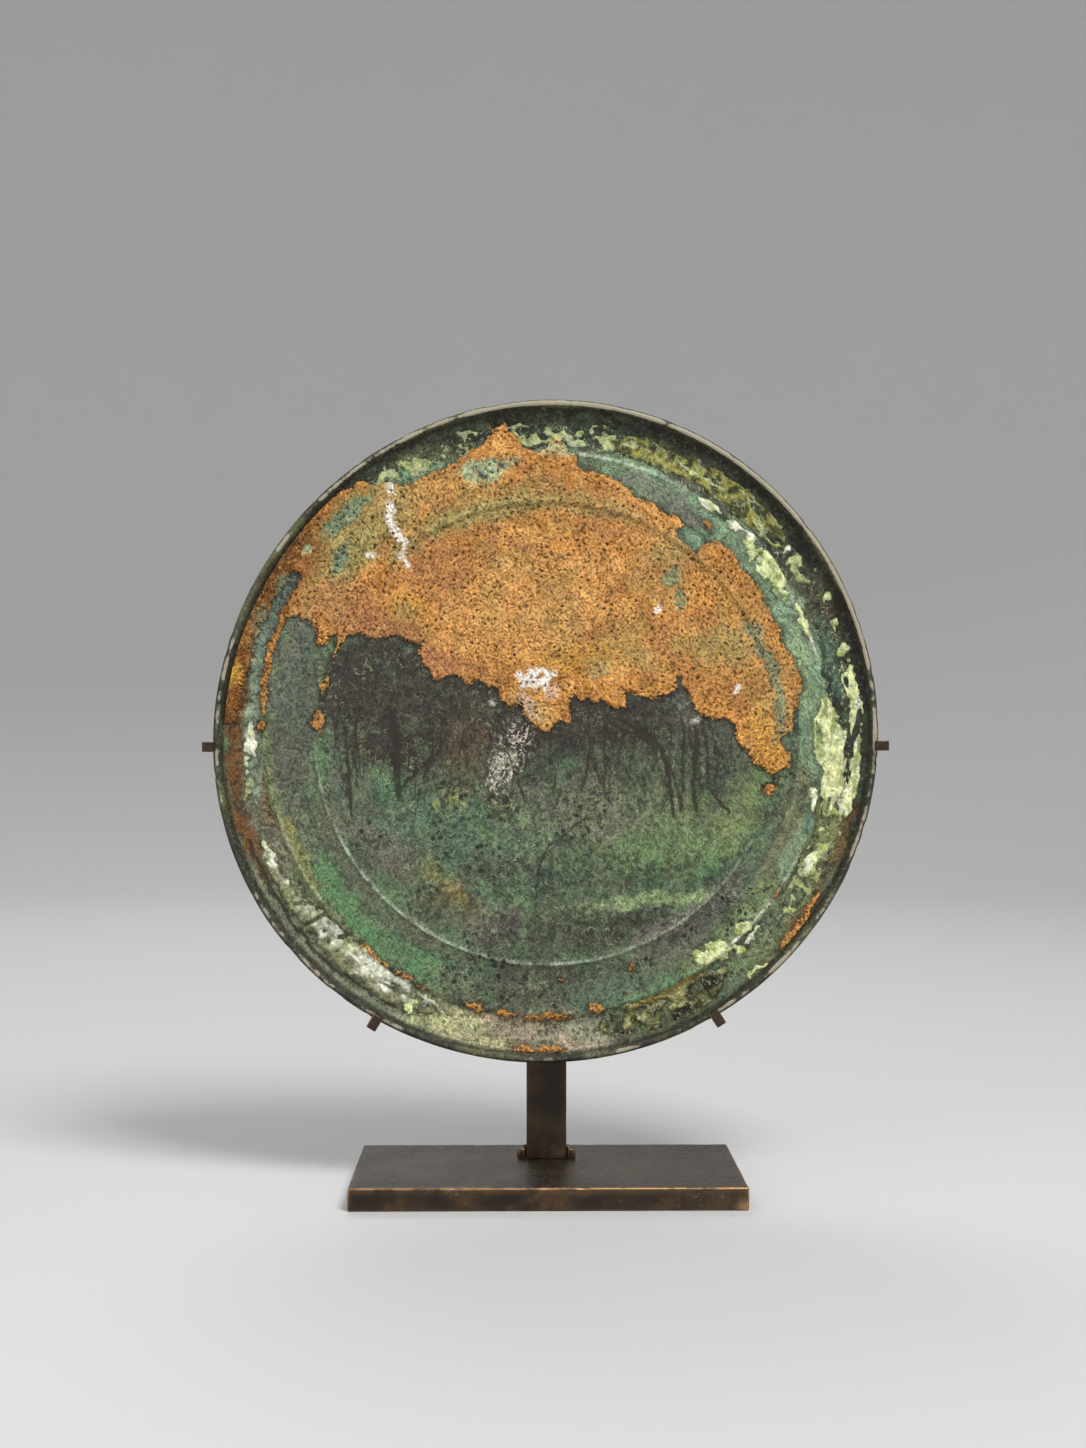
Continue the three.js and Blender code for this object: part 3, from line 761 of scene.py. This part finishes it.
def close_below(name, points, sheet, border, paint, material):
    """Closes a sheet with a wall round its border and a flat underside inside the bronze."""
    rim = border[:, 0]
    below = np.full(len(points), -1)
    below[rim] = len(points) + np.arange(len(rim))
    roots = points[rim].copy()
    roots[:, 1] = RIM_BACK_Y - ROOT_HEIGHT
    a, b = border.T
    walls = np.concatenate([np.stack([b, a, below[a]], 1), np.stack([b, below[a], below[b]], 1)])
    flat, edges = roots[:, [0, 2]], below[border] - len(points)
    _, _, faces, origins, _, _ = delaunay_2d_cdt([Vector(at) for at in flat], edges.tolist(), [], 0, 1e-6)
    floor = np.array([origin[0] for origin in origins])[np.array(faces)]
    middle = flat[floor].mean(1)
    floor = floor[within(middle[:, 0], middle[:, 1], flat[edges])][:, ::-1] + len(points)
    triangles = np.concatenate([sheet, walls, floor])
    points, paint = np.concatenate([points, roots]), np.concatenate([paint, paint[rim]])
    return make_object(name, points, triangles, material, patina=paint)


# ---- the crust

WRINKLES = [grooves(1.2, slant, 90, 40 + slant) for slant in (25, 85, 145)]
PITS = grooves(1.9, 0, 500, 77)


def wrinkle(x, z):
    """Ridges and grooves that waver about in patches of different slant, about -1..1."""
    pull = np.stack([noise(x, z, 22, 50 + k, 1) for k in range(3)])
    share = np.exp(5 * pull)
    share /= share.sum(0)
    folds = sum(part * sample(field, x, z) for part, field in zip(share, WRINKLES))
    return folds * (1.2 + 1.0 * noise(x, z, 2.4, 53, 2))


def crust_reach(x, z):
    wx, wz = warped(x, z, (0.8, 3.4, 60, 62, 3), (0.7, 1.3, 61, 63, 2))
    reach = outline_reach(wx, wz, CRUST_EDGE)
    crumbs = 0.9 * smooth(0.0, 0.5, noise(x, z, 2.2, 64, 2))
    for spot in CRUST_SPOTS:
        reach = np.maximum(reach, spot_reach(wx, wz, *spot) - 0.5 * crumbs)
    for arc in CRUST_ARCS:
        reach = np.maximum(reach, arc_reach(wx, wz, *arc) - crumbs)
    return reach + 0.45 * wrinkle(x, z)


def crust_worn(x, z):
    """Where the crust has thinned away to a green film, 0..1."""
    worn = smooth(-2, 1.5, arc_reach(x, z, 60, 93, 72, 75))
    for *shape, tone, strength, soft in CRUST_SPOT_STAINS:
        if tone in ("crustteal", "crustmint", "crustslate"):
            film = smooth(-soft * 0.5, soft * 0.5, spot_reach(x, z, *shape))
            worn = np.maximum(worn, strength * film)
    return worn


def crust_surface(x, z, r, reach):
    folds = wrinkle(x, z)
    pit = smooth(0.7, 0.86, sample(PITS, x, z) + 0.15 * noise(x, z, 16, 68))
    worn = crust_worn(x, z)
    thick = 0.62 + 0.14 * noise(x, z, 14, 65) + 0.1 * noise(x, z, 5, 66)
    thick = thick * (1 - 0.7 * worn)
    rise = np.where(reach < 0, reach * 1.5, thick * smooth(0, 0.7, reach) ** 0.7)
    texture = 0.19 * np.clip(folds, -1.3, 0.55) * (1 - 0.6 * worn) - 0.34 * pit
    texture = texture + 0.09 * noise(x, z, 1.5, 67, 2)
    height = front_height(r) + body_relief(x, z) + rise + texture * smooth(0, 0.7, reach)
    return height, stain_crust(x, z, reach, folds, pit)


# ---- scale on the bronze

SCALE_LOOK = {
    # tone: (thickness, roughness of the top, depth of its folds, how wide its shoulder is, tones mixed in)
    "lime": (0.34, 0.16, 0.0, 0.7, ("pale", "limedeep")),
    "pale": (0.4, 0.18, 0.1, 0.7, ("cream", "lime")),
    "cream": (0.34, 0.16, 0.1, 0.7, ("chalk", "lime")),
    "moss": (0.4, 0.18, 0.2, 0.6, ("mossdark_and_shade", "moss")),
    "dust": (0.18, 0.12, 0.0, 0.5, ("limedeep", "speck")),
    "chalk": (1.05, 0.34, 0.7, 3.2, ("chalkdark", "olive")),
    "scab": (0.6, 0.34, 0.5, 1.6, ("scablight", "mossdark_and_shade")),
}


def ring_folds(x, z, seed):
    """Noise drawn out along the ring, about -1..1."""
    r, clock = polar(x, z)
    return noise(r, np.radians(clock) * 94 / 3.6, 2.2, seed, 4)


def scale_parts(x, z):
    """Each patch of scale: its reach and its tone."""
    wx, wz = warped(x, z, (1.0, 3.6, 90, 92, 3), (0.55, 1.4, 91, 93, 2))
    flaking = noise(x, z, 3.2, 96, 4)
    broken = {
        "moss": 1.5 * ring_folds(x, z, 94) + 0.55,
        "dust": 1.6 * noise(x, z, 2.3, 102, 3) - 0.25,
        "lime": 2.6 * flaking + 0.75,
        "pale": 2.6 * ring_folds(x, z, 108) + 0.95,
        "cream": 2.6 * flaking + 0.75,
        "scab": 2.2 * noise(x, z, 3.4, 95) + 0.9,
        "chalk": 2.6 * noise(x, z, 5, 103) + 1.8,
    }
    for reach_of, patches in ((arc_reach, SCALE_ARCS), (spot_reach, SCALE_SPOTS)):
        for *shape, tone in patches:
            yield np.minimum(reach_of(wx, wz, *shape), broken[tone]), tone


def scale_reach(x, z):
    reach = np.full(x.shape, FAR_OUTSIDE)
    for part, _ in scale_parts(x, z):
        reach = np.maximum(reach, part)
    for points, width in SCALE_CRACKS:
        reach = np.minimum(reach, -line_reach(x + 0.5 * noise(x, z, 2, 104), z, points, width))
    return reach


def scale_surface(x, z, r, reach):
    rise, texture = np.zeros(len(x)), np.zeros(len(x))
    paint = np.tile(TONES["olive"], (len(x), 1))
    best = np.full(len(x), FAR_OUTSIDE)
    second, third, folds = noise(x, z, 3.2, 97, 4), noise(x, z, 2.4, 98, 4), ring_folds(x, z, 107)
    lumps = 0.7 * noise(x, z, 4.5, 99) + 0.55 * noise(x, z, 1.7, 100, 2)
    for part, tone in scale_parts(x, z):
        here = part > best
        best = np.where(here, part, best)
        thick, bumpy, folded, shoulder, mixed = SCALE_LOOK[tone]
        level = np.clip(np.minimum(part, reach * 3) / shoulder, 0, 1)
        rise = np.where(here, thick * (1 - (1 - level) ** 2), rise)
        texture = np.where(here, bumpy * lumps + folded * folds, texture)
        own = blend(np.tile(TONES[tone], (len(x), 1)), mixed[0], 0.9 * smooth(0.0, 0.4, second))
        own = blend(own, mixed[1], 0.9 * smooth(0.1, 0.5, third))
        if tone == "chalk":
            whitest = 0.3 + 0.7 * smooth(28, 8, np.abs(polar(x, z)[1] - 222))
            own = coated(
                own,
                ("cream", whitest * smooth(-0.15, 0.3, folds + 0.5 * noise(x, z, 6, 109))),
                ("limedeep", 0.5 * smooth(0.15, 0.4, noise(x, z, 6, 106))),
                ("olive", 0.9 * smooth(93.8, 96.2, r + 2.0 * third)),
                ("mossdark_and_shade", 0.8 * smooth(-0.1, -0.5, folds)),
            )
        if tone == "moss":
            own = blend(own, "lime", 0.9 * smooth(0.5, 0.15, part) * smooth(-0.2, 0.3, second))
            own = blend(own, "mossdark_and_shade", 0.85 * smooth(-0.2, -0.45, second))
        if tone == "scab":
            own = blend(own, "soot", 0.9 * smooth(-0.05, -0.4, folds))
            own = blend(own, "gold", 0.8 * smooth(91.8, 90.6, r))
        if tone == "pale":
            own = blend(own, "limedeep", 0.85 * smooth(-0.05, -0.35, folds))
        paint = np.where(here[:, None], own, paint)
    rise = np.where(reach < 0, reach * 1.2, rise)
    paint = paint * (1 + 0.4 * noise(x, z, 1.6, 101, 2))[:, None]
    height = front_height(r) + body_relief(x, z) + rise + texture * smooth(0, 0.9, reach)
    # the scale's edge is darkened with painted shade where it meets the bronze
    return height, blend(paint, "mossdark_and_shade", 0.6 * smooth(0.4, -0.1, reach))


# ---- materials


class Shader:
    """A material's nodes, made one after another. Sizes are in mm."""

    def __init__(self, name):
        self.material = bpy.data.materials.new(name)
        self.material.use_nodes = True
        self.tree = self.material.node_tree
        self.tree.nodes.clear()
        self.where = self.add("TexCoord").outputs["Object"]

    def add(self, kind, inputs=None, **settings):
        """A node with its settings, and its inputs by name or number: a value, or a socket to link."""
        made = self.tree.nodes.new("ShaderNode" + kind)
        for key, value in settings.items():
            setattr(made, key, value)
        for key, value in (inputs or {}).items():
            if isinstance(value, bpy.types.NodeSocket):
                self.tree.links.new(value, made.inputs[key])
            else:
                made.inputs[key].default_value = value
        return made

    def attribute(self, name, output="Fac"):
        return self.add("Attribute", attribute_name=name).outputs[output]

    def maths(self, how, a, b):
        return self.add("Math", {0: a, 1: b}, operation=how).outputs[0]

    def times(self, a, b):
        return self.maths("MULTIPLY", a, b)

    def ramp(self, value, low, high, to_low=0.0, to_high=1.0):
        inputs = {0: value, 1: low, 2: high, 3: to_low, 4: to_high}
        return self.add("MapRange", inputs, interpolation_type="SMOOTHSTEP").outputs[0]

    def mix(self, share, a, b, how="MIX"):
        inputs = {0: share, 6: a, 7: b}
        return self.add("Mix", inputs, data_type="RGBA", blend_type=how, clamp_result=True).outputs[2]

    def tinted(self, colour, *tints):
        """Lays colours over one another: (share, colour)."""
        for share, tint in tints:
            colour = self.mix(share, colour, tint)
        return colour

    def shaded(self, colour, value, low, high, darkest, lightest):
        """The colour darker and lighter as a value goes from low to high."""
        level = self.ramp(value, low, high, darkest, lightest)
        grey = self.add("CombineColor", {0: level, 1: level, 2: level}).outputs[0]
        return self.mix(1.0, colour, grey, "MULTIPLY")

    def grain(self, size, detail=2.0, rough=0.5, twist=0.0, where=None):
        """Noise with blobs of a size."""
        inputs = {"Scale": 1 / (size * MM), "Detail": detail, "Roughness": rough, "Distortion": twist}
        return self.add("TexNoise", {"Vector": where or self.where, **inputs}).outputs[0]

    def curls(self, size, width):
        """Thin curling lines where a twisted noise crosses its middle, broken into short pieces."""
        off = self.maths("SUBTRACT", self.grain(size, 1.5, 0.5, 1.6), 0.5)
        line = self.ramp(self.maths("ABSOLUTE", off, 0.0), 0.0, width, 1.0, 0.0)
        return self.times(line, self.ramp(self.grain(0.9 * size), 0.48, 0.56))

    def pits(self, apart, radius):
        """Small round dots about so far apart, some of them missing. Their radius is a share of that."""
        inputs = {"Vector": self.where, "Scale": 1 / (apart * MM), "Randomness": 1.0}
        cells = self.add("TexVoronoi", inputs).outputs
        dots = self.ramp(cells["Distance"], radius, 0.7 * radius)
        return self.times(dots, self.ramp(cells["Color"], 0.45, 0.5))

    def strokes(self, wide, long, slant, twist=0.5):
        """Noise drawn out into strokes of one slant, in degrees from upright."""
        turn, stretch = (0, math.radians(slant), 0), (1, 1, long / wide)
        inputs = {"Vector": self.where, "Rotation": turn, "Scale": stretch}
        turned = self.add("Mapping", inputs, vector_type="TEXTURE").outputs[0]
        return self.grain(wide, 2, 0.55, twist, turned)

    def patched_strokes(self, wide, long):
        """Short strokes whose slant changes from patch to patch, 0..1."""
        mixed = self.strokes(wide, long, 20)
        for slant in (80, 140):
            patch = self.ramp(self.grain(3 * wide + slant / 100, 1), 0.45, 0.55)
            mixed = self.add("Mix", {0: patch, 2: mixed, 3: self.strokes(wide, long, slant)}).outputs[0]
        return mixed

    def finish(self, colour, roughness, metallic, specular, *bumps):
        """The material, with bumps laid one on another: (height socket, depth in mm)."""
        surface = {"Base Color": colour, "Roughness": roughness, "Metallic": metallic}
        surface["Specular IOR Level"] = specular
        for height, depth in bumps:
            under = {"Normal": surface["Normal"]} if "Normal" in surface else {}
            bump = {"Height": height, "Distance": depth * MM, "Strength": 1.0, **under}
            surface["Normal"] = self.add("Bump", bump).outputs[0]
        shader = self.add("BsdfPrincipled", surface).outputs[0]
        self.add("OutputMaterial", {"Surface": shader})
        return self.material


def rgba(tone):
    return (*TONES[tone], 1.0)


def bronze_material():
    make = Shader("corroded_bronze")
    fine = make.patched_strokes(0.6, 1.3)
    dark = make.maths("MAXIMUM", make.ramp(make.grain(1.3, 2, 0.6, 0.6), 0.57, 0.65), make.pits(2.6, 0.36))
    flakes = make.ramp(make.patched_strokes(0.8, 1.5), 0.52, 0.6)
    hair = make.ramp(make.strokes(0.75, 9.0, 4, 0.8), 0.56, 0.66)
    ragged = make.maths("ADD", make.attribute("streak"), make.times(make.grain(0.9), 0.5))
    # wear on the lip's crest with a painted highlight, lightest towards the light
    scuffed_and_lit = make.ramp(make.maths("ADD", make.attribute("worn"), make.grain(1.8, 4, 0.65)), 0.85, 1.1)
    colour = make.tinted(
        make.shaded(make.attribute("patina", "Color"), fine, 0.32, 0.68, 0.5, 1.5),
        (make.times(dark, make.attribute("fleck")), rgba("soot")),
        (make.times(make.curls(1.9, 0.06), 0.6), rgba("soot")),
        (make.times(make.curls(2.4, 0.05), make.attribute("speck")), rgba("speck")),
        (make.times(flakes, make.attribute("chalky")), rgba("ivory")),
        (make.times(hair, make.attribute("hair")), rgba("bark")),
        (make.ramp(ragged, 0.35, 0.9, 0.0, 0.85), rgba("bark")),
        (make.times(scuffed_and_lit, 0.74), rgba("lippale")),
    )
    return make.finish(colour, make.ramp(make.grain(3.0, 3), 0.3, 0.7, 0.5, 0.75), 0.0, 0.3, (fine, 0.25))


def crust_material(name, contrast, bump, lightest):
    make = Shader(name)
    fine = make.patched_strokes(0.6, 1.4)
    colour = make.tinted(
        make.shaded(make.attribute("patina", "Color"), fine, 0.34, 0.66, 1 - contrast, 1 + 0.8 * contrast),
        (make.times(make.curls(2.3, 0.06), contrast), rgba(lightest)),
        (make.times(make.curls(1.9, 0.05), contrast), rgba("crustpit")),
        (make.times(make.pits(1.9, 0.28), 1.2 * contrast), rgba("crustpit")),
    )
    return make.finish(colour, make.ramp(make.grain(2.5, 3), 0.3, 0.7, 0.7, 0.95), 0.0, 0.25, (fine, bump))


def stand_material():
    make = Shader("patinated_brass")
    cloud, fine = make.grain(18, 4, 0.6), make.grain(2.2, 4, 0.65)
    golden = make.times(make.ramp(make.grain(9, 4, 0.65), 0.5, 0.62), make.attribute("bare"))
    # rubbed edges, lighter with a painted highlight where the edge layer carries one
    rubbed_and_lit = make.times(make.attribute("edge"), make.ramp(make.grain(5, 5, 0.7), 0.3, 0.55))
    nick = make.ramp(make.strokes(0.6, 2.4, 60), 0.66, 0.72, 0.0, 0.6)
    colour = make.tinted(
        rgba("brass"),
        (make.ramp(cloud, 0.35, 0.65), rgba("brasslight")),
        (make.times(golden, 0.5), rgba("brassgold")),
        (make.times(rubbed_and_lit, 0.8), rgba("brassworn_and_lit")),
        (make.times(nick, make.ramp(cloud, 0.45, 0.6)), rgba("brassnick")),
    )
    return make.finish(colour, make.ramp(fine, 0.3, 0.7, 0.3, 0.5), 0.6, 0.5, (fine, 0.01), (cloud, 0.03))


# ---- the mirror

points, triangles, x, z, front, ring, rise = make_body()
r, clock = polar(x, z)
paint = stain_and_shade_body(x, z, front)

# painted highlights along the rings' crests
for at, middle, half, tone, strength in RING_HIGHLIGHTS:
    stretch = smooth(half, half / 3, np.abs((clock - middle + 180) % 360 - 180))
    line = stretch * smooth(0.6, 0.1, np.abs(ring - at)) * (1 + noise(x, z, 3, 27))
    paint = blend(paint, tone, strength * line * front)

lip = smooth(100.9, 102.2, ring)
lip_foot = smooth(100.6, 101.6, ring) * smooth(102.9, 102.4, ring)
paint = coated(
    paint,
    # painted shade in the crease at the foot of the second step
    ("deep", 0.6 * smooth(0.8, 0.2, np.abs(ring - 79.1)) * front),
    # painted shade on the bronze round the edges of the crust and of the scale, where they stand off it
    ("soot", 0.6 * smooth(-1.6, -0.2, crust_reach(x, z)) * front),
    ("mossdark_and_shade", 0.4 * smooth(-1.5, -0.2, scale_reach(x, z)) * front),
    ("lip", lip),
    ("olive", lip * 0.5 * smooth(0, 0.5, noise(x, z, 16, 25))),
    ("night", lip * 0.6 * smooth(0.1, 0.4, noise(x, z, 11, 28))),
    # painted shade on the lip's outer side, and a painted shadow on its inner wall below the crest
    ("soot", smooth(6.6, 5.0, rise) * smooth(102.6, 103.6, ring) * 0.85),
    ("soot", smooth(7.0, 5.6, rise) * lip_foot * 0.7),
    ("deep", ~front * smooth(103.5, 102, ring) * (0.5 + 0.5 * noise(x, z, 18, 26))),
)

streak = smooth(-0.5, 0.4, seam_reach(x, z)) * 0.9
wx, wz = warped(x, z, (0.6, 2.4, 29, 30, 3))
for line, width, strength in (*STREAKS, *fine_streaks()):
    streak = np.maximum(streak, strength * smooth(-0.45, 0.35, line_reach(wx, wz, line, width)))

hollow = smooth(88.5, 90.5, r)
below_crust = 0.6 * smooth(-0.2, 0.5, noise(x, z, 12, 24)) * smooth(4, -16, z) * smooth(90, 86, r)
field = smooth(72, 66, r)
speck = 0.4 + 0.4 * smooth(-0.1, 0.5, noise(x, z, 9, 31))
speck = speck + 0.6 * hollow * smooth(-0.5, 0.2, noise(x, z, 7, 32))
towards_light = 0.5 + 0.5 * np.cos(np.radians(clock - 25))
crest = smooth(6.9, 7.45, rise) * smooth(101.9, 102.6, ring)
front_layers = {
    "streak": streak,
    "fleck": np.clip(0.3 + below_crust + 0.3 * hollow, 0, 1),
    "speck": speck * (1 - 0.3 * smooth(-14, 0, z) * field) * (1 - 0.8 * smooth(96, 98.5, r)),
    "chalky": smooth(-1.5, 2.5, spot_reach(x, z, -12.4, -8, 28, 11, 64)),
    "hair": 0.75 * smooth(9, 2, z) * smooth(-30, -12, z) * field * smooth(-0.3, 0.3, noise(x, z, 14, 34)),
}
layers = {name: layer * front for name, layer in front_layers.items()}
# wear on the lip's crest with a painted highlight that grows towards the light at the upper right
layers["worn"] = lip * crest * np.clip(0.33 + 0.66 * towards_light**2 + 0.45 * noise(x, z, 7, 33), 0, 1.1)
disc = make_object("mirror_disc", points, triangles, bronze_material(), patina=paint, **layers)
ochre = crust_material("ochre_crust", 0.5, 0.22, "crustlight")
crust = make_growth("ochre_crust", crust_reach, CRUST_SPACING, crust_surface, ochre, 0.0)
flaky = crust_material("mineral_scale", 0.35, 0.2, "cream")
scale = make_growth("mineral_scale", scale_reach, SCALE_SPACING, scale_surface, flaky, 44.0)
for piece in (disc, crust, scale):
    carry(piece, "mirror")

# ---- the stand

metal = stand_material()


def rounded_bar(name, radius, spacing, wear):
    """A block that fills a CAD node's box, with rounded and knocked edges.

    Its layers mark the edges as rubbed, with a painted highlight strongest on those towards the light and
    at one lower front corner, and the sides that show bare metal.
    """
    low, high = (np.array(corner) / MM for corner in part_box(name))
    half = (high - low) / 2
    bend = radius * np.tan(np.radians(np.linspace(0, 45, 4)))
    ticks = []
    for size in half - radius:
        inner = np.linspace(-size, size, max(2, int(2 * size / spacing) + 1))
        ticks.append(np.concatenate([-size - bend[:0:-1], inner, size + bend[1:]]))
    corners = []
    for axis in range(3):
        u, v = (axis + 1) % 3, (axis + 2) % 3
        gu, gv = np.meshgrid(ticks[u], ticks[v], indexing="ij")
        for side in (-1, 1):
            face = np.zeros((*gu.shape, 3))
            face[..., axis], face[..., u], face[..., v] = side * half[axis], gu, gv
            quad = [face[:-1, :-1], face[1:, :-1], face[1:, 1:], face[:-1, 1:]]
            quad = quad if side > 0 else quad[::-1]
            quad = np.stack([q.reshape(-1, 3) for q in quad], 1)
            corners.append(quad[:, [0, 1, 2]])
            corners.append(quad[:, [0, 2, 3]])
    soup = np.concatenate(corners).reshape(-1, 3)
    points, index = np.unique(np.round(soup, 5), axis=0, return_inverse=True)
    from_edge = np.sort(half - np.abs(points), axis=1)[:, 1]
    core = np.clip(points, radius - half, half - radius)
    out = points - core
    out /= np.linalg.norm(out, axis=1)[:, None]
    px, py, pz = points.T
    knock = 0.25 * smooth(0.25, 0.6, noise(px + py, pz - py, 5, 110))
    points = core + out * (radius - knock * smooth(1.0, 0.0, from_edge))[:, None]
    # the edge layer is wear with a painted highlight: strongest on the edges towards the light, and full at
    # the lower front corner on the right
    towards_light = smooth(0.4, 1.0, (points[:, 2] / half[2] - points[:, 1] / half[1]) / 2)
    edge = wear * smooth(0.9, 0.2, from_edge) * (0.25 + 0.75 * towards_light)
    from_lit_corner = np.linalg.norm(points - half * (1, -1, -1), axis=1)
    edge = np.maximum(edge, wear * smooth(5, 2, from_lit_corner))
    bare = wear * smooth(half[2] - 0.3, half[2] - 1.2, points[:, 2])
    middle = (low + high) / 2
    return make_object(name + "_metal", points + middle, index.reshape(-1, 3), metal, edge=edge, bare=bare)


def softened(name, width, lumps, worn):
    """A copy of a CAD node with its sharp edges rounded and marked, and its surface a little lumpy."""
    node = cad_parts[name]
    work = bmesh.new()
    work.from_mesh(node.data)
    bmesh.ops.remove_doubles(work, verts=work.verts, dist=0.001 * MM)
    bmesh.ops.transform(work, matrix=node.matrix_world, verts=work.verts)
    bmesh.ops.dissolve_limit(work, angle_limit=math.radians(1), verts=work.verts, edges=work.edges)
    sharp = [edge for edge in work.edges if edge.calc_face_angle(0) > math.radians(35)]
    bevel = dict(offset=width * MM, segments=3, profile=0.5, affect="EDGES", clamp_overlap=True)
    rounded = bmesh.ops.bevel(work, geom=sharp, **bevel)["faces"]
    mark = work.loops.layers.float.new("edge")
    for face in rounded:
        for loop in face.loops:
            loop[mark] = worn
    bmesh.ops.triangulate(work, faces=work.faces)
    mesh = bpy.data.meshes.new(name + "_metal")
    work.to_mesh(mesh)
    work.free()
    mesh.shade_smooth()
    mesh.materials.append(metal)
    x, y, z = np.array([vertex.co for vertex in mesh.vertices]).T / MM
    for vertex, lift in zip(mesh.vertices, lumps * noise(x + z, y - z, 3.5, 111)):
        vertex.co += vertex.normal * lift * MM
    return link(name + "_metal", mesh)


carry(rounded_bar("base_plate", 0.7, 1.6, 1.0), "base_plate")
carry(rounded_bar("post", 0.5, 1.6, 0.3), "post")
carry(softened("foot_collar", 0.5, 0.12, 0.3), "foot_collar")
carry(softened("cradle", 0.45, 0.0, 0.6), "cradle")

# ---- floor, lights and camera

LIT_POINT = (0, 0, 0.13)


def make_floor():
    """A round pale floor that curves up into a wall all round, so that it has no horizon."""
    flat, bend, top, turns = 1.2, 1.1, 3.4, 96
    rise = np.radians(np.linspace(0, 90, 20))
    radius = np.concatenate([[0.4, 0.8], flat + bend * np.sin(rise), [flat + bend]])
    height = np.concatenate([[0, 0], bend - bend * np.cos(rise), [top]])
    turn = np.tile(np.arange(turns) * 2 * math.pi / turns, len(radius))
    r, h = np.repeat(radius, turns), np.repeat(height, turns)
    points = np.append(np.stack([r * np.sin(turn), r * np.cos(turn), h], 1), [[0, 0, 0]], axis=0)
    triangles = np.concatenate([stitch([turns] * len(radius)), cap(0, turns, len(points) - 1, True)])
    material = Shader("pale_floor").finish((0.6, 0.6, 0.595, 1), 0.6, 0.0, 0.3)
    make_object("floor", points / MM, triangles, material)


def make_light(name, location, size, power):
    data = bpy.data.lights.new(name, "AREA")
    data.size, data.energy = size, power
    light = link(name, data)
    light.location = location
    light.rotation_euler = (Vector(LIT_POINT) - light.location).to_track_quat("-Z", "Y").to_euler()


def make_world():
    world = bpy.data.worlds.new("studio")
    world.use_nodes = True
    colour, strength = world.node_tree.nodes["Background"].inputs[:2]
    colour.default_value, strength.default_value = (0.9, 0.9, 0.92, 1), 0.6
    bpy.context.scene.world = world


def make_camera():
    data = bpy.data.cameras.new("camera")
    data.sensor_width, data.lens = 36, 49.6
    data.clip_start, data.clip_end = 0.01, 50
    camera = link("camera", data)
    camera.location = (-0.0100, -0.6279, 0.1409)
    camera.rotation_euler = (math.radians(90.43), 0, math.radians(-0.8))
    bpy.context.scene.camera = camera


make_floor()
make_world()
make_light("key", (0.5, -0.8, 1.3), 0.55, 21)
make_light("fill", (-1.0, -0.9, 0.4), 0.8, 4)
make_light("back", (-0.3, 1.0, 1.1), 0.8, 6)
make_camera()
bpy.context.scene.view_settings.view_transform = "Standard"
